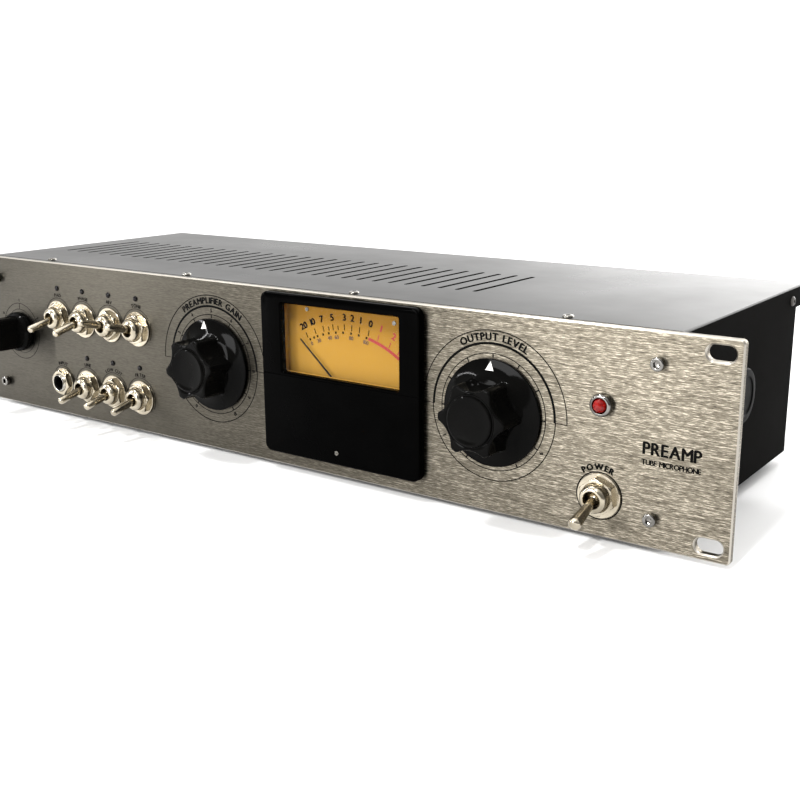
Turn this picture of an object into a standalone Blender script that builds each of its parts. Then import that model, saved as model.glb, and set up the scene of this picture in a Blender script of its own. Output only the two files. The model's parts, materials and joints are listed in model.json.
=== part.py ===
"""Two-unit rack microphone preamplifier, modelled as separate solids.

Metres, +Z up, +X to the right of someone facing the front panel. Every piece is laid out
in the panel's own frame: x from the panel's centre line, y back from its front face, z up
from its bottom edge. One empty carries that frame to the part's frame, whose origin is the
centre of the bounding box at floor level.
"""
import math

import bmesh
import bpy

# Front panel, to the 19-inch rack standard
PANEL_WIDTH = 0.4826
PANEL_HEIGHT = 0.0881
PANEL_THICKNESS = 0.0032
PANEL_CORNER = 0.0018
PANEL_CHAMFER = 0.0006
SEAT_DEPTH = 0.0002
SEAT_HALF_WIDTH = 0.2176
SLOT_X = 0.23255
SLOT_RISE = 0.0381
SLOT_LENGTH = 0.0114
SLOT_WIDTH = 0.0064
SCREW_X = 0.2088
SCREW_RISE = 0.0315

# Chassis tray and top cover, folded from sheet
TRAY_HALF_WIDTH = 0.2151
TRAY_DEPTH = 0.149
TRAY_BOTTOM = 0.0042
TRAY_TOP = 0.0864
SHEET = 0.0015
FRONT_WINDOW_HALF_WIDTH = 0.2048
COVER_HALF_WIDTH = 0.2166
COVER_DEPTH = 0.1555
COVER_TOP = 0.0882
COVER_LIP = 0.0105
COVER_WALL = 0.0012
COVER_FOLD = 0.001
VENT_COUNT = 31
VENT_FIRST_X = -0.197
VENT_PITCH = 0.00985
VENT_FRONT_Y = 0.042
VENT_REAR_Y = 0.099
VENT_WIDTH = 0.0025
PLUG_Y = 0.080
PLUG_Z = 0.047

# Feet
FOOT_RADIUS = 0.0085
FOOT_HEIGHT = 0.0057
FOOT_X = 0.190
FOOT_YS = (0.022, 0.128)

# Controls on the panel
KNOB_Z = 0.0448
GAIN_X = -0.0315
OUTPUT_X = 0.1348
GAIN_REST_DEG = 9.0
FILTER_X = -0.191
FILTER_Z = 0.045
BAR_HALF_WIDTH = 0.0050
BAR_HALF_HEIGHT = 0.0094
BAR_FRONT_Y = -0.0238
KNOB_SKIRT_RADIUS = 0.0237
KNOB_LOBES = 6
KNOB_GRIP_RADIUS = 0.01475
KNOB_LOBE_RISE = 0.00175
KNOB_SIDES = 36
SHAFT_RADIUS = 0.003
BUSHING_RADIUS = 0.00475

# Toggle switches: a grid of columns and two rows, and the power switch
TOGGLE_FIRST_X = -0.1544
TOGGLE_PITCH = 0.02205
UPPER_ROW_Z = 0.057
LOWER_ROW_Z = 0.019
POWER_X = 0.1859
POWER_Z = 0.0176
TOGGLE_BUSHING_RADIUS = 0.00595
TOGGLE_MOUTH_Y = -0.0075
TOGGLE_PIVOT_Y = -0.0035
TOGGLE_TILT_DEG = 14.0
POWER_TILT_DEG = 18.0
LEVER_LENGTH = 0.0182
POWER_LEVER_LENGTH = 0.0202
NUT_FLAT_RADIUS = 0.0072
NUT_FRONT_Y = -0.0034
NUT_REAR_Y = -0.0009
SWITCH_HALF_WIDTH = 0.0075
SWITCH_HALF_HEIGHT = 0.0115
SWITCH_REAR_Y = 0.021

# Jack and lamp
JACK_HALF_HEIGHT = 0.009
JACK_REAR_Y = 0.030
JACK_BORE_RADIUS = 0.0033
JACK_NUT_FLAT_RADIUS = 0.0066
LAMP_X = 0.186
LAMP_Z = 0.056
LAMP_HOLE_RADIUS = 0.0041

# Meter
METER_X = 0.05302
METER_WIDTH = 0.0932
METER_BOTTOM = 0.007
METER_TOP = 0.0867
METER_FRONT_Y = -0.0043
METER_BODY_HALF_WIDTH = 0.043
METER_BODY_HALF_HEIGHT = 0.0365
METER_BODY_DEPTH = 0.030
WINDOW_LEFT = 0.0189
WINDOW_RIGHT = 0.0884
WINDOW_BOTTOM = 0.0482
WINDOW_TOP = 0.0818
NEEDLE_PIVOT_Z = 0.0396
NEEDLE_Y = 0.0030
NEEDLE_LENGTH = 0.0370
NEEDLE_REST_DEG = 48.8

# Rear sockets
INLET_X = 0.165
INLET_Z = 0.040
XLR_Z = 0.050
MIC_X = -0.165
LINE_X = -0.110

GAP = 0.0003
FAR = 0.02

FLOOR_TO_PANEL = FOOT_HEIGHT + GAP - TRAY_BOTTOM
FRONT_REACH = -BAR_FRONT_Y
FRONT_Y = -(COVER_DEPTH - FRONT_REACH) / 2


# ---------------------------------------------------------------- outlines and skins

def circle(radius, count, phase=0.0):
    """Points round a circle, anticlockwise."""
    step = math.tau / count
    return [
        (radius * math.cos(phase + i * step), radius * math.sin(phase + i * step))
        for i in range(count)
    ]


def rounded_rectangle(left, right, bottom, top, radius, steps=3):
    """A rectangle with round corners, anticlockwise from its lower right corner."""
    points = []
    corners = (
        (right - radius, bottom + radius, -90),
        (right - radius, top - radius, 0),
        (left + radius, top - radius, 90),
        (left + radius, bottom + radius, 180),
    )
    for x, z, start in corners:
        for i in range(steps + 1):
            angle = math.radians(start + 90 * i / steps)
            points.append((x + radius * math.cos(angle), z + radius * math.sin(angle)))
    return points


def obround(length, width, x=0.0, z=0.0, grow=0.0, steps=4):
    """A slot with half-round ends, lying along x."""
    half = length / 2 + grow
    radius = width / 2 + grow
    return rounded_rectangle(x - half, x + half, z - radius, z + radius, radius * 0.9999, steps)


def shifted(points, x, z):
    """The same outline moved."""
    return [(px + x, pz + z) for px, pz in points]


def along_y(points, y):
    """An outline in the x-z plane, placed at depth y."""
    return [(x, y, z) for x, z in points]


def along_z(points, z):
    """An outline in the x-y plane, placed at height z."""
    return [(x, y, z) for x, y in points]


def along_x(points, x):
    """An outline in the y-z plane, placed at x."""
    return [(x, y, z) for y, z in points]


def skin(bm, rings, closed=False):
    """Skins a run of equal rings of points. Open runs get end caps; closed runs join up."""
    loops = [[bm.verts.new(point) for point in ring] for ring in rings]
    pairs = list(zip(loops, loops[1:]))
    if closed:
        pairs.append((loops[-1], loops[0]))
    for near, far in pairs:
        for i in range(len(near)):
            j = (i + 1) % len(near)
            bm.faces.new((near[i], near[j], far[j], far[i]))
    if not closed:
        bm.faces.new(loops[0])
        bm.faces.new(loops[-1])


def turned_y(profile, sides, x=0.0, z=0.0):
    """Rings for a profile of (radius, y) pairs turned about an axis along y."""
    return [along_y(shifted(circle(radius, sides), x, z), y) for radius, y in profile]


def turned_z(profile, sides, x=0.0, y=0.0):
    """Rings for a profile of (radius, z) pairs turned about an axis along z."""
    return [along_z(shifted(circle(radius, sides), x, y), z) for radius, z in profile]


def box_rings(low, high):
    """The two rings of a box, bottom and top."""
    outline = [(low[0], low[1]), (high[0], low[1]), (high[0], high[1]), (low[0], high[1])]
    return [along_z(outline, low[2]), along_z(outline, high[2])]


# ---------------------------------------------------------------- objects and materials

def clear_scene():
    """Removes whatever is there before the part is made."""
    for obj in list(bpy.data.objects):
        bpy.data.objects.remove(obj, do_unlink=True)


def paint(name, color, roughness, metallic=0.0, alpha=1.0):
    """A material with the piece's colour, roughness and metal."""
    material = bpy.data.materials.new(name)
    material.use_nodes = True
    shader = material.node_tree.nodes["Principled BSDF"]
    shader.inputs["Base Color"].default_value = (*color, 1.0)
    shader.inputs["Roughness"].default_value = roughness
    shader.inputs["Metallic"].default_value = metallic
    shader.inputs["Alpha"].default_value = alpha
    material.diffuse_color = (*color, alpha)
    return material


def add_frame():
    """The empty that carries the panel's frame."""
    frame = bpy.data.objects.new("panel_frame", None)
    frame.location = (0.0, FRONT_Y, FLOOR_TO_PANEL)
    bpy.context.collection.objects.link(frame)
    return frame


def add_object(name, skins, material=None, location=(0, 0, 0), rotation=(0, 0, 0)):
    """One object from a list of ring runs; a run is rings, or (rings, True) if it is closed."""
    bm = bmesh.new()
    for run in skins:
        if isinstance(run, tuple):
            skin(bm, run[0], closed=run[1])
        else:
            skin(bm, run)
    bmesh.ops.recalc_face_normals(bm, faces=bm.faces)
    mesh = bpy.data.meshes.new(name)
    bm.to_mesh(mesh)
    bm.free()
    mesh.shade_smooth()
    mesh.set_sharp_from_angle(angle=math.radians(35))
    obj = bpy.data.objects.new(name, mesh)
    if material:
        mesh.materials.append(material)
    obj.location = location
    obj.rotation_euler = rotation
    obj.parent = FRAME
    bpy.context.collection.objects.link(obj)
    return obj


def add_tool(name, skins, location=(0, 0, 0)):
    """A solid that only shapes another one."""
    tool = add_object(name, skins, location=location)
    tool.hide_render = True
    tool.display_type = "WIRE"
    return tool


def combine(obj, tool, operation):
    """Cuts the tool from the object, or joins it on."""
    modifier = obj.modifiers.new(tool.name, "BOOLEAN")
    modifier.operation = operation
    modifier.object = tool


# ---------------------------------------------------------------- panel and casing

def toggle_places():
    """Name, x, z, the lever's tilt (positive is down) and its length, for every toggle."""
    places = []
    for column in range(4):
        x = TOGGLE_FIRST_X + column * TOGGLE_PITCH
        tilt = TOGGLE_TILT_DEG if column < 2 else -TOGGLE_TILT_DEG
        places.append((f"upper_toggle_{column + 1}", x, UPPER_ROW_Z, tilt, LEVER_LENGTH))
    for column in range(1, 4):
        x = TOGGLE_FIRST_X + column * TOGGLE_PITCH
        places.append((f"lower_toggle_{column}", x, LOWER_ROW_Z, TOGGLE_TILT_DEG, LEVER_LENGTH))
    places.append(("power_toggle", POWER_X, POWER_Z, POWER_TILT_DEG, POWER_LEVER_LENGTH))
    return places


def screw_places():
    """The four panel screws, lower left first."""
    middle = PANEL_HEIGHT / 2
    return [(sx * SCREW_X, middle + sz * SCREW_RISE) for sz in (-1, 1) for sx in (-1, 1)]


def hole(radius, x, z, sides=16, rear=FAR):
    """A round cutter through the panel and, when long enough, through what lies behind it."""
    return turned_y([(radius, -FAR), (radius, rear)], sides, x, z)


def slot_cutter(x, z):
    """A rack slot's cutter, flared at the front for the chamfer."""
    front = along_y(obround(SLOT_LENGTH, SLOT_WIDTH, x, z, 2 * PANEL_CHAMFER), -PANEL_CHAMFER)
    waist = along_y(obround(SLOT_LENGTH, SLOT_WIDTH, x, z), PANEL_CHAMFER)
    back = along_y(obround(SLOT_LENGTH, SLOT_WIDTH, x, z), FAR)
    return [front, waist, back]


def meter_opening(margin, front, rear):
    """A rectangular prism round the meter's body."""
    middle = (METER_BOTTOM + METER_TOP) / 2
    half_width = METER_BODY_HALF_WIDTH + margin
    half_height = METER_BODY_HALF_HEIGHT + margin
    outline = rounded_rectangle(
        METER_X - half_width, METER_X + half_width, middle - half_height, middle + half_height, 0.002
    )
    return [along_y(outline, front), along_y(outline, rear)]


def front_panel(material):
    """The panel: chamfered front edges, rack slots, control holes, and a shallow seat behind
    for the chassis, which leaves the backs of the two rack ears as faces of their own."""
    half = PANEL_WIDTH / 2
    inset = PANEL_CHAMFER
    face = rounded_rectangle(
        -half + inset, half - inset, inset, PANEL_HEIGHT - inset, PANEL_CORNER - inset, 3
    )
    edge = rounded_rectangle(-half, half, 0.0, PANEL_HEIGHT, PANEL_CORNER, 3)
    rings = [along_y(face, 0.0), along_y(edge, inset), along_y(edge, PANEL_THICKNESS)]
    panel = add_object("front_panel", [rings], material)
    cuts = [
        slot_cutter(sx * SLOT_X, PANEL_HEIGHT / 2 + sz * SLOT_RISE) for sx in (-1, 1) for sz in (-1, 1)
    ]
    cuts += [hole(TOGGLE_BUSHING_RADIUS + GAP, x, z) for _, x, z, _, _ in toggle_places()]
    cuts += [hole(0.0018, x, z, 12) for x, z in screw_places()]
    cuts += [hole(BUSHING_RADIUS + GAP, x, KNOB_Z) for x in (GAIN_X, OUTPUT_X)]
    cuts.append(hole(BUSHING_RADIUS + GAP, FILTER_X, FILTER_Z))
    cuts.append(hole(BUSHING_RADIUS + GAP, TOGGLE_FIRST_X, LOWER_ROW_Z))
    cuts.append(hole(LAMP_HOLE_RADIUS, LAMP_X, LAMP_Z))
    cuts.append(meter_opening(0.0006, -FAR, FAR))
    seat = box_rings(
        (-SEAT_HALF_WIDTH, PANEL_THICKNESS - SEAT_DEPTH, -FAR), (SEAT_HALF_WIDTH, FAR, PANEL_HEIGHT + FAR)
    )
    combine(panel, add_tool("chassis_seat", [seat]), "DIFFERENCE")
    combine(panel, add_tool("panel_cutter", cuts), "DIFFERENCE")


def chassis_tray(material):
    """The open-topped tray the panel is screwed to, with a window behind the controls."""
    front = PANEL_THICKNESS + GAP
    wide = TRAY_HALF_WIDTH
    tray = add_object(
        "chassis_tray", [box_rings((-wide, front, TRAY_BOTTOM), (wide, TRAY_DEPTH, TRAY_TOP))], material
    )
    inner = wide - SHEET
    hollow = add_tool("tray_hollow", [
        box_rings((-inner, front + SHEET, TRAY_BOTTOM + SHEET), (inner, TRAY_DEPTH - SHEET, 0.1))
    ])
    clear = FRONT_WINDOW_HALF_WIDTH
    openings = [box_rings((-clear, 0.0, TRAY_BOTTOM + SHEET), (clear, front + 0.003, 0.1))]
    openings += [hole(0.0018, x, z, 12) for x, z in screw_places()]
    plug_hole = shifted(circle(0.0112, 20), PLUG_Y, PLUG_Z)
    openings.append([along_x(plug_hole, inner - 0.005), along_x(plug_hole, wide + 0.005)])
    rear = TRAY_DEPTH
    inlet_hole = shifted(rounded_rectangle(-0.0143, 0.0143, -0.0104, 0.0104, 0.002), INLET_X, INLET_Z)
    openings.append([along_y(inlet_hole, rear - 0.005), along_y(inlet_hole, rear + 0.005)])
    for x in (MIC_X, LINE_X):
        openings.append(turned_y([(0.0122, rear - 0.005), (0.0122, rear + 0.005)], 20, x, XLR_Z))
    combine(tray, hollow, "DIFFERENCE")
    combine(tray, add_tool("tray_cutter", openings), "DIFFERENCE")


def top_cover(material):
    """The slotted lid, with a lip folded down at both sides and at the back."""
    front = PANEL_THICKNESS + GAP
    wide = COVER_HALF_WIDTH
    bottom = COVER_TOP - COVER_LIP
    fold = COVER_FOLD
    rings = []
    levels = (
        (0.0, bottom), (0.0, COVER_TOP - fold), (0.3 * fold, COVER_TOP - 0.3 * fold), (fold, COVER_TOP),
    )
    for inset, z in levels:
        outline = [
            (-wide + inset, front), (wide - inset, front),
            (wide - inset, COVER_DEPTH - inset), (-wide + inset, COVER_DEPTH - inset),
        ]
        rings.append(along_z(outline, z))
    cover = add_object("top_cover", [rings], material)
    inner = wide - COVER_WALL
    inside = box_rings((-inner, 0.0, 0.07), (inner, COVER_DEPTH - COVER_WALL, COVER_TOP - SHEET))
    vents = []
    middle = (VENT_FRONT_Y + VENT_REAR_Y) / 2
    for i in range(VENT_COUNT):
        slot = obround(VENT_REAR_Y - VENT_FRONT_Y, VENT_WIDTH, steps=2)
        x = VENT_FIRST_X + i * VENT_PITCH
        outline = [(x + across, middle + along) for along, across in slot]
        vents.append([along_z(outline, 0.08), along_z(outline, 0.1)])
    combine(cover, add_tool("cover_inside", [inside]), "DIFFERENCE")
    combine(cover, add_tool("vent_cutter", vents), "DIFFERENCE")


def side_plug(material):
    """A snap-in blanking plug in the right-hand wall."""
    profile = ((0.0106, 0.2125), (0.0106, 0.2154), (0.0125, 0.2154), (0.0125, 0.2161), (0.0115, 0.2168))
    rings = [along_x(shifted(circle(radius, 20), PLUG_Y, PLUG_Z), x) for radius, x in profile]
    add_object("side_plug", [rings], material)


def panel_screws(material):
    """Cap screws that clamp the panel to the tray's front flanges."""
    profile = ((0.0026, -0.0031), (0.0028, -0.0028), (0.0028, -GAP), (0.0015, -GAP), (0.0015, 0.008))
    for number, (x, z) in enumerate(screw_places(), 1):
        add_object(f"panel_screw_{number}", [turned_y(profile, 12)], material, (x, 0.0, z))


def feet(material):
    """Four rubber feet under the tray."""
    profile = (
        (FOOT_RADIUS - 0.0016, 0.0), (FOOT_RADIUS - 0.001, 0.0008),
        (FOOT_RADIUS, FOOT_HEIGHT), (FOOT_RADIUS - 0.004, FOOT_HEIGHT),
    )
    places = [(sx * FOOT_X, y) for y in FOOT_YS for sx in (-1, 1)]
    for number, (x, y) in enumerate(places, 1):
        add_object(f"foot_{number}", [turned_z(profile, 16)], material, (x, y, -FLOOR_TO_PANEL))


# ---------------------------------------------------------------- knobs and controls

def lobed(scale, rise, y):
    """One ring of the grip: a circle with evenly spaced lobes and a valley straight up."""
    points = []
    for i in range(KNOB_SIDES):
        angle = math.tau * i / KNOB_SIDES
        wave = math.cos(KNOB_LOBES * (angle - math.pi / 2 + math.pi / KNOB_LOBES))
        radius = KNOB_GRIP_RADIUS * scale + rise * wave
        points.append((radius * math.cos(angle), y, radius * math.sin(angle)))
    return points


def lobed_knob(name, material, x, turn_deg=0.0):
    """A skirted knob with a lobed grip and a raised cap, hollow behind for nut and shaft."""
    bore = SHAFT_RADIUS + GAP
    rings = turned_y(
        [(bore, -0.0142), (bore, -0.0062), (0.0092, -0.0062), (0.0092, -0.0008),
         (KNOB_SKIRT_RADIUS, -0.0008), (KNOB_SKIRT_RADIUS, -0.0018), (0.0172, -0.0031)],
        KNOB_SIDES,
    )
    rise = KNOB_LOBE_RISE
    rings += [
        lobed(1.0, rise, -0.0047), lobed(0.99, rise, -0.0150),
        lobed(0.95, rise, -0.0172), lobed(0.86, rise * 0.5, -0.0182),
    ]
    rings += turned_y([(0.0112, -0.0182), (0.0108, -0.0191)], KNOB_SIDES)
    add_object(name, [rings], material, (x, 0.0, KNOB_Z), (0.0, -math.radians(turn_deg), 0.0))


def filter_knob(material):
    """A bar knob: a round skirt and an upright bar with rounded edges, bored from behind."""
    skirt = turned_y([(0.0115, -0.0008), (0.0115, -0.0040), (0.0106, -0.0058)], 24)
    place = (FILTER_X, 0.0, FILTER_Z)
    knob = add_object("filter_knob", [skirt], material, place)
    half_width, half_height = BAR_HALF_WIDTH, BAR_HALF_HEIGHT
    layers = ((0.0, -0.0050), (0.0004, -0.0230), (0.0012, BAR_FRONT_Y))
    grip = [
        along_y(
            rounded_rectangle(
                -half_width + inset, half_width - inset, -half_height + inset, half_height - inset, 0.0022
            ),
            y,
        )
        for inset, y in layers
    ]
    combine(knob, add_tool("filter_knob_grip", [grip], place), "UNION")
    bore = SHAFT_RADIUS + GAP
    hollow = turned_y(
        [(bore, -0.0142), (bore, -0.0053), (0.0052, -0.0053), (0.0052, -0.0034), (0.0086, -0.0034),
         (0.0086, 0.001)],
        24,
    )
    combine(knob, add_tool("filter_knob_bore", [hollow], place), "DIFFERENCE")


def control_body(name, material, x, z, radius, depth):
    """A potentiometer or rotary switch: can behind the panel, bushing and nut through it."""
    bore = SHAFT_RADIUS + GAP
    profile = (
        (bore, depth - 0.001), (bore, -0.0048), (BUSHING_RADIUS, -0.0048), (BUSHING_RADIUS, -0.0028),
        (0.0068, -0.0028), (0.0068, -GAP), (BUSHING_RADIUS, -GAP),
        (BUSHING_RADIUS, PANEL_THICKNESS + GAP), (radius, PANEL_THICKNESS + GAP),
        (radius, depth), (radius - 0.002, depth + 0.0005),
    )
    add_object(name, [turned_y(profile, 16)], material, (x, 0.0, z))


def control_shaft(name, material, x, z, depth):
    """The plain shaft a knob is fixed to."""
    profile = ((SHAFT_RADIUS, -0.0138), (SHAFT_RADIUS, depth - 0.0014))
    add_object(name, [turned_y(profile, 12)], material, (x, 0.0, z))


# ---------------------------------------------------------------- toggles, jack and lamp

def toggle_switch(name, x, z, material):
    """A switch case behind the panel, with the threaded bushing its lever comes out of."""
    rear = PANEL_THICKNESS + GAP
    low = (-SWITCH_HALF_WIDTH, rear, -SWITCH_HALF_HEIGHT)
    high = (SWITCH_HALF_WIDTH, SWITCH_REAR_Y, SWITCH_HALF_HEIGHT)
    case = add_object(f"{name}_switch", [box_rings(low, high)], material, (x, 0.0, z))
    outside = TOGGLE_BUSHING_RADIUS
    profile = (
        (0.0036, 0.0006), (0.0036, TOGGLE_MOUTH_Y + 0.0008), (0.0044, TOGGLE_MOUTH_Y),
        (outside - 0.0004, TOGGLE_MOUTH_Y), (outside, TOGGLE_MOUTH_Y + 0.0004), (outside, rear + 0.001),
    )
    bushing = add_tool(f"{name}_bushing", [turned_y(profile, 16)], (x, 0.0, z))
    combine(case, bushing, "UNION")


def toggle_lever(name, x, z, tilt, length, material):
    """A bat-shaped lever on its ball, turned about the pivot inside the bushing."""
    profile = (
        (0.0012, 0.0026), (0.0026, 0.0012), (0.0029, 0.0), (0.0026, -0.0013), (0.0017, -0.0024),
        (0.0017, -0.0060), (0.0024, -length + 0.0030), (0.0024, -length + 0.0012),
        (0.0019, -length + 0.0003), (0.0009, -length),
    )
    turn = (math.radians(tilt), 0.0, 0.0)
    add_object(f"{name}_lever", [turned_y(profile, 12)], material, (x, TOGGLE_PIVOT_Y, z), turn)


def hex_nut(name, x, z, flat_radius, bore, material):
    """A hexagon nut, its twelve-sided bore joined to a hexagon with a point on every flat."""
    corner = flat_radius / math.cos(math.pi / 6)
    outline = []
    for i in range(12):
        radius = corner if i % 2 else flat_radius
        outline.append((radius * math.cos(i * math.pi / 6), radius * math.sin(i * math.pi / 6)))
    bore_outline = circle(bore / math.cos(math.pi / 12), 12)
    rings = [
        along_y(outline, NUT_FRONT_Y), along_y(outline, NUT_REAR_Y),
        along_y(bore_outline, NUT_REAR_Y), along_y(bore_outline, NUT_FRONT_Y),
    ]
    add_object(name, [(rings, True)], material, (x, 0.0, z))


def toggles(case_material, metal):
    """Every toggle switch with its lever and nut."""
    for name, x, z, tilt, length in toggle_places():
        toggle_switch(name, x, z, case_material)
        toggle_lever(name, x, z, tilt, length, metal)
        hex_nut(f"{name}_nut", x, z, NUT_FLAT_RADIUS, TOGGLE_BUSHING_RADIUS + GAP, metal)


def jack(case_material, metal):
    """A quarter-inch jack: case and bushing in one, open for the plug."""
    x, z = TOGGLE_FIRST_X, LOWER_ROW_Z
    rear = PANEL_THICKNESS + GAP
    low = (-SWITCH_HALF_WIDTH, rear, -JACK_HALF_HEIGHT)
    high = (SWITCH_HALF_WIDTH, JACK_REAR_Y, JACK_HALF_HEIGHT)
    case = add_object("jack_socket", [box_rings(low, high)], case_material, (x, 0.0, z))
    outer = BUSHING_RADIUS
    bushing = turned_y([(outer, 0.006), (outer, -0.0042), (outer - 0.0004, -0.0046)], 16)
    combine(case, add_tool("jack_bushing", [bushing], (x, 0.0, z)), "UNION")
    bore = turned_y([(JACK_BORE_RADIUS, -0.008), (JACK_BORE_RADIUS, JACK_REAR_Y - 0.003)], 16)
    combine(case, add_tool("jack_bore", [bore], (x, 0.0, z)), "DIFFERENCE")
    hex_nut("jack_nut", x, z, JACK_NUT_FLAT_RADIUS, outer + GAP, metal)


def jewel_lamp(chrome, red):
    """A bezel through the panel and the red lens inside it."""
    bezel = (
        (0.0031, 0.0002), (0.0031, -0.0032), (0.0041, -0.0034), (0.0049, -0.0024), (0.0049, -GAP),
        (0.0037, -GAP), (0.0037, 0.012),
    )
    place = (LAMP_X, 0.0, LAMP_Z)
    add_object("indicator_bezel", [turned_y(bezel, 20)], chrome, place)
    lens = ((0.0028, -0.0002), (0.0028, -0.0034), (0.0023, -0.0046), (0.0012, -0.0053))
    add_object("indicator_lens", [turned_y(lens, 16)], red, place)


# ---------------------------------------------------------------- meter

def meter(case_material, scale_material, clear, needle_material):
    """The meter: a flanged case with a windowed room, its pane, scale plate and needle."""
    outline = rounded_rectangle(
        METER_X - METER_WIDTH / 2, METER_X + METER_WIDTH / 2, METER_BOTTOM, METER_TOP, 0.004, 4
    )
    face = rounded_rectangle(
        METER_X - METER_WIDTH / 2 + 0.0007, METER_X + METER_WIDTH / 2 - 0.0007,
        METER_BOTTOM + 0.0007, METER_TOP - 0.0007, 0.0034, 4,
    )
    flange = [along_y(face, METER_FRONT_Y), along_y(outline, METER_FRONT_Y + 0.0007), along_y(outline, -GAP)]
    case = add_object("meter_case", [flange], case_material)
    body = add_tool("meter_body", [meter_opening(0.0, -0.001, METER_BODY_DEPTH)])
    window = box_rings(
        (WINDOW_LEFT, -FAR, WINDOW_BOTTOM), (WINDOW_RIGHT, 0.002, WINDOW_TOP)
    )
    room = box_rings((0.0148, -0.0008, 0.0345), (0.0912, 0.0085, 0.0822))
    combine(case, body, "UNION")
    combine(case, add_tool("meter_window_cutter", [window]), "DIFFERENCE")
    combine(case, add_tool("meter_room_cutter", [room]), "DIFFERENCE")
    pane = box_rings(
        (WINDOW_LEFT + GAP, -0.0038, WINDOW_BOTTOM + GAP), (WINDOW_RIGHT - GAP, -0.0022, WINDOW_TOP - GAP)
    )
    add_object("meter_window", [pane], clear)
    plate = box_rings((0.0152, 0.0047, 0.0465), (0.0908, 0.0057, 0.0818))
    add_object("meter_scale", [plate], scale_material)
    needle(needle_material)


def needle(material):
    """A thin pointer with a small hub, on the meter's axis; upright in its own frame."""
    hub = circle(0.0024, 10, math.pi / 2 + math.pi / 10)
    tip_half = 0.00022
    hub[0:1] = [(-tip_half, NEEDLE_LENGTH), (-0.0004, 0.003)]
    hub[-1:] = [(0.0004, 0.003), (tip_half, NEEDLE_LENGTH)]
    rings = [along_y(hub, -0.0003), along_y(hub, 0.0003)]
    place = (METER_X, NEEDLE_Y, NEEDLE_PIVOT_Z)
    add_object("meter_needle", [rings], material, place, (0.0, -math.radians(NEEDLE_REST_DEG), 0.0))


# ---------------------------------------------------------------- rear sockets and insides

def mains_inlet(material):
    """A flanged mains inlet with its recess."""
    rear = TRAY_DEPTH
    flange = shifted(rounded_rectangle(-0.025, 0.025, -0.012, 0.012, 0.004), INLET_X, INLET_Z)
    body = shifted(rounded_rectangle(-0.0138, 0.0138, -0.0099, 0.0099, 0.0015), INLET_X, INLET_Z)
    recess = shifted(rounded_rectangle(-0.012, 0.012, -0.008, 0.008, 0.0015), INLET_X, INLET_Z)
    inlet = add_object(
        "mains_inlet", [[along_y(flange, rear + GAP), along_y(flange, rear + 0.0028)]], material
    )
    combine(inlet, add_tool(
        "inlet_body", [[along_y(body, rear - 0.020), along_y(body, rear + 0.002)]]
    ), "UNION")
    combine(inlet, add_tool(
        "inlet_recess", [[along_y(recess, rear - 0.017), along_y(recess, rear + 0.01)]]
    ), "DIFFERENCE")


def xlr_socket(name, x, material, has_core):
    """A three-pole socket: square flange, round shell, and a core inside the input one."""
    rear = TRAY_DEPTH
    flange = shifted(rounded_rectangle(-0.013, 0.013, -0.0155, 0.0155, 0.002), x, XLR_Z)
    socket = add_object(name, [[along_y(flange, rear + GAP), along_y(flange, rear + 0.0023)]], material)
    shell = turned_y([(0.0118, rear - 0.020), (0.0118, rear + 0.002)], 20, x, XLR_Z)
    combine(socket, add_tool(f"{name}_shell", [shell]), "UNION")
    bottom = rear - 0.016
    if has_core:
        profile = ((0.0062, rear + 0.01), (0.0062, bottom), (0.0096, bottom), (0.0096, rear + 0.01))
        recess = (turned_y(profile, 20, x, XLR_Z), True)
    else:
        recess = turned_y([(0.0096, bottom), (0.0096, rear + 0.01)], 20, x, XLR_Z)
    combine(socket, add_tool(f"{name}_recess", [recess]), "DIFFERENCE")


def transformer(material):
    """A laminated core with the winding standing proud of it at front and back."""
    floor = TRAY_BOTTOM + SHEET + GAP
    core = add_object(
        "power_transformer", [box_rings((0.118, 0.082, floor), (0.184, 0.114, floor + 0.055))], material
    )
    winding = add_tool("transformer_winding", [
        box_rings((0.130, 0.070, floor + 0.010), (0.172, 0.126, floor + 0.045))
    ])
    combine(core, winding, "UNION")


def main_board(material):
    """The circuit board on four short posts."""
    floor = TRAY_BOTTOM + SHEET + GAP
    board = add_object(
        "main_board", [box_rings((-0.130, 0.036, 0.0125), (0.095, 0.138, 0.0141))], material
    )
    posts = [
        turned_z([(0.003, floor), (0.003, 0.013)], 8, x, y) for x in (-0.124, 0.089) for y in (0.042, 0.132)
    ]
    combine(board, add_tool("board_posts", posts), "UNION")


def tubes(material):
    """Two miniature double triodes standing in their sockets."""
    base = 0.0144
    profile = (
        (0.0105, base), (0.0105, base + 0.008), (0.0100, base + 0.010), (0.0100, base + 0.046),
        (0.0085, base + 0.050), (0.0040, base + 0.053), (0.0018, base + 0.057),
    )
    for number, x in enumerate((-0.075, -0.040), 1):
        add_object(f"tube_{number}", [turned_z(profile, 16)], material, (x, 0.095, 0.0))


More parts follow.
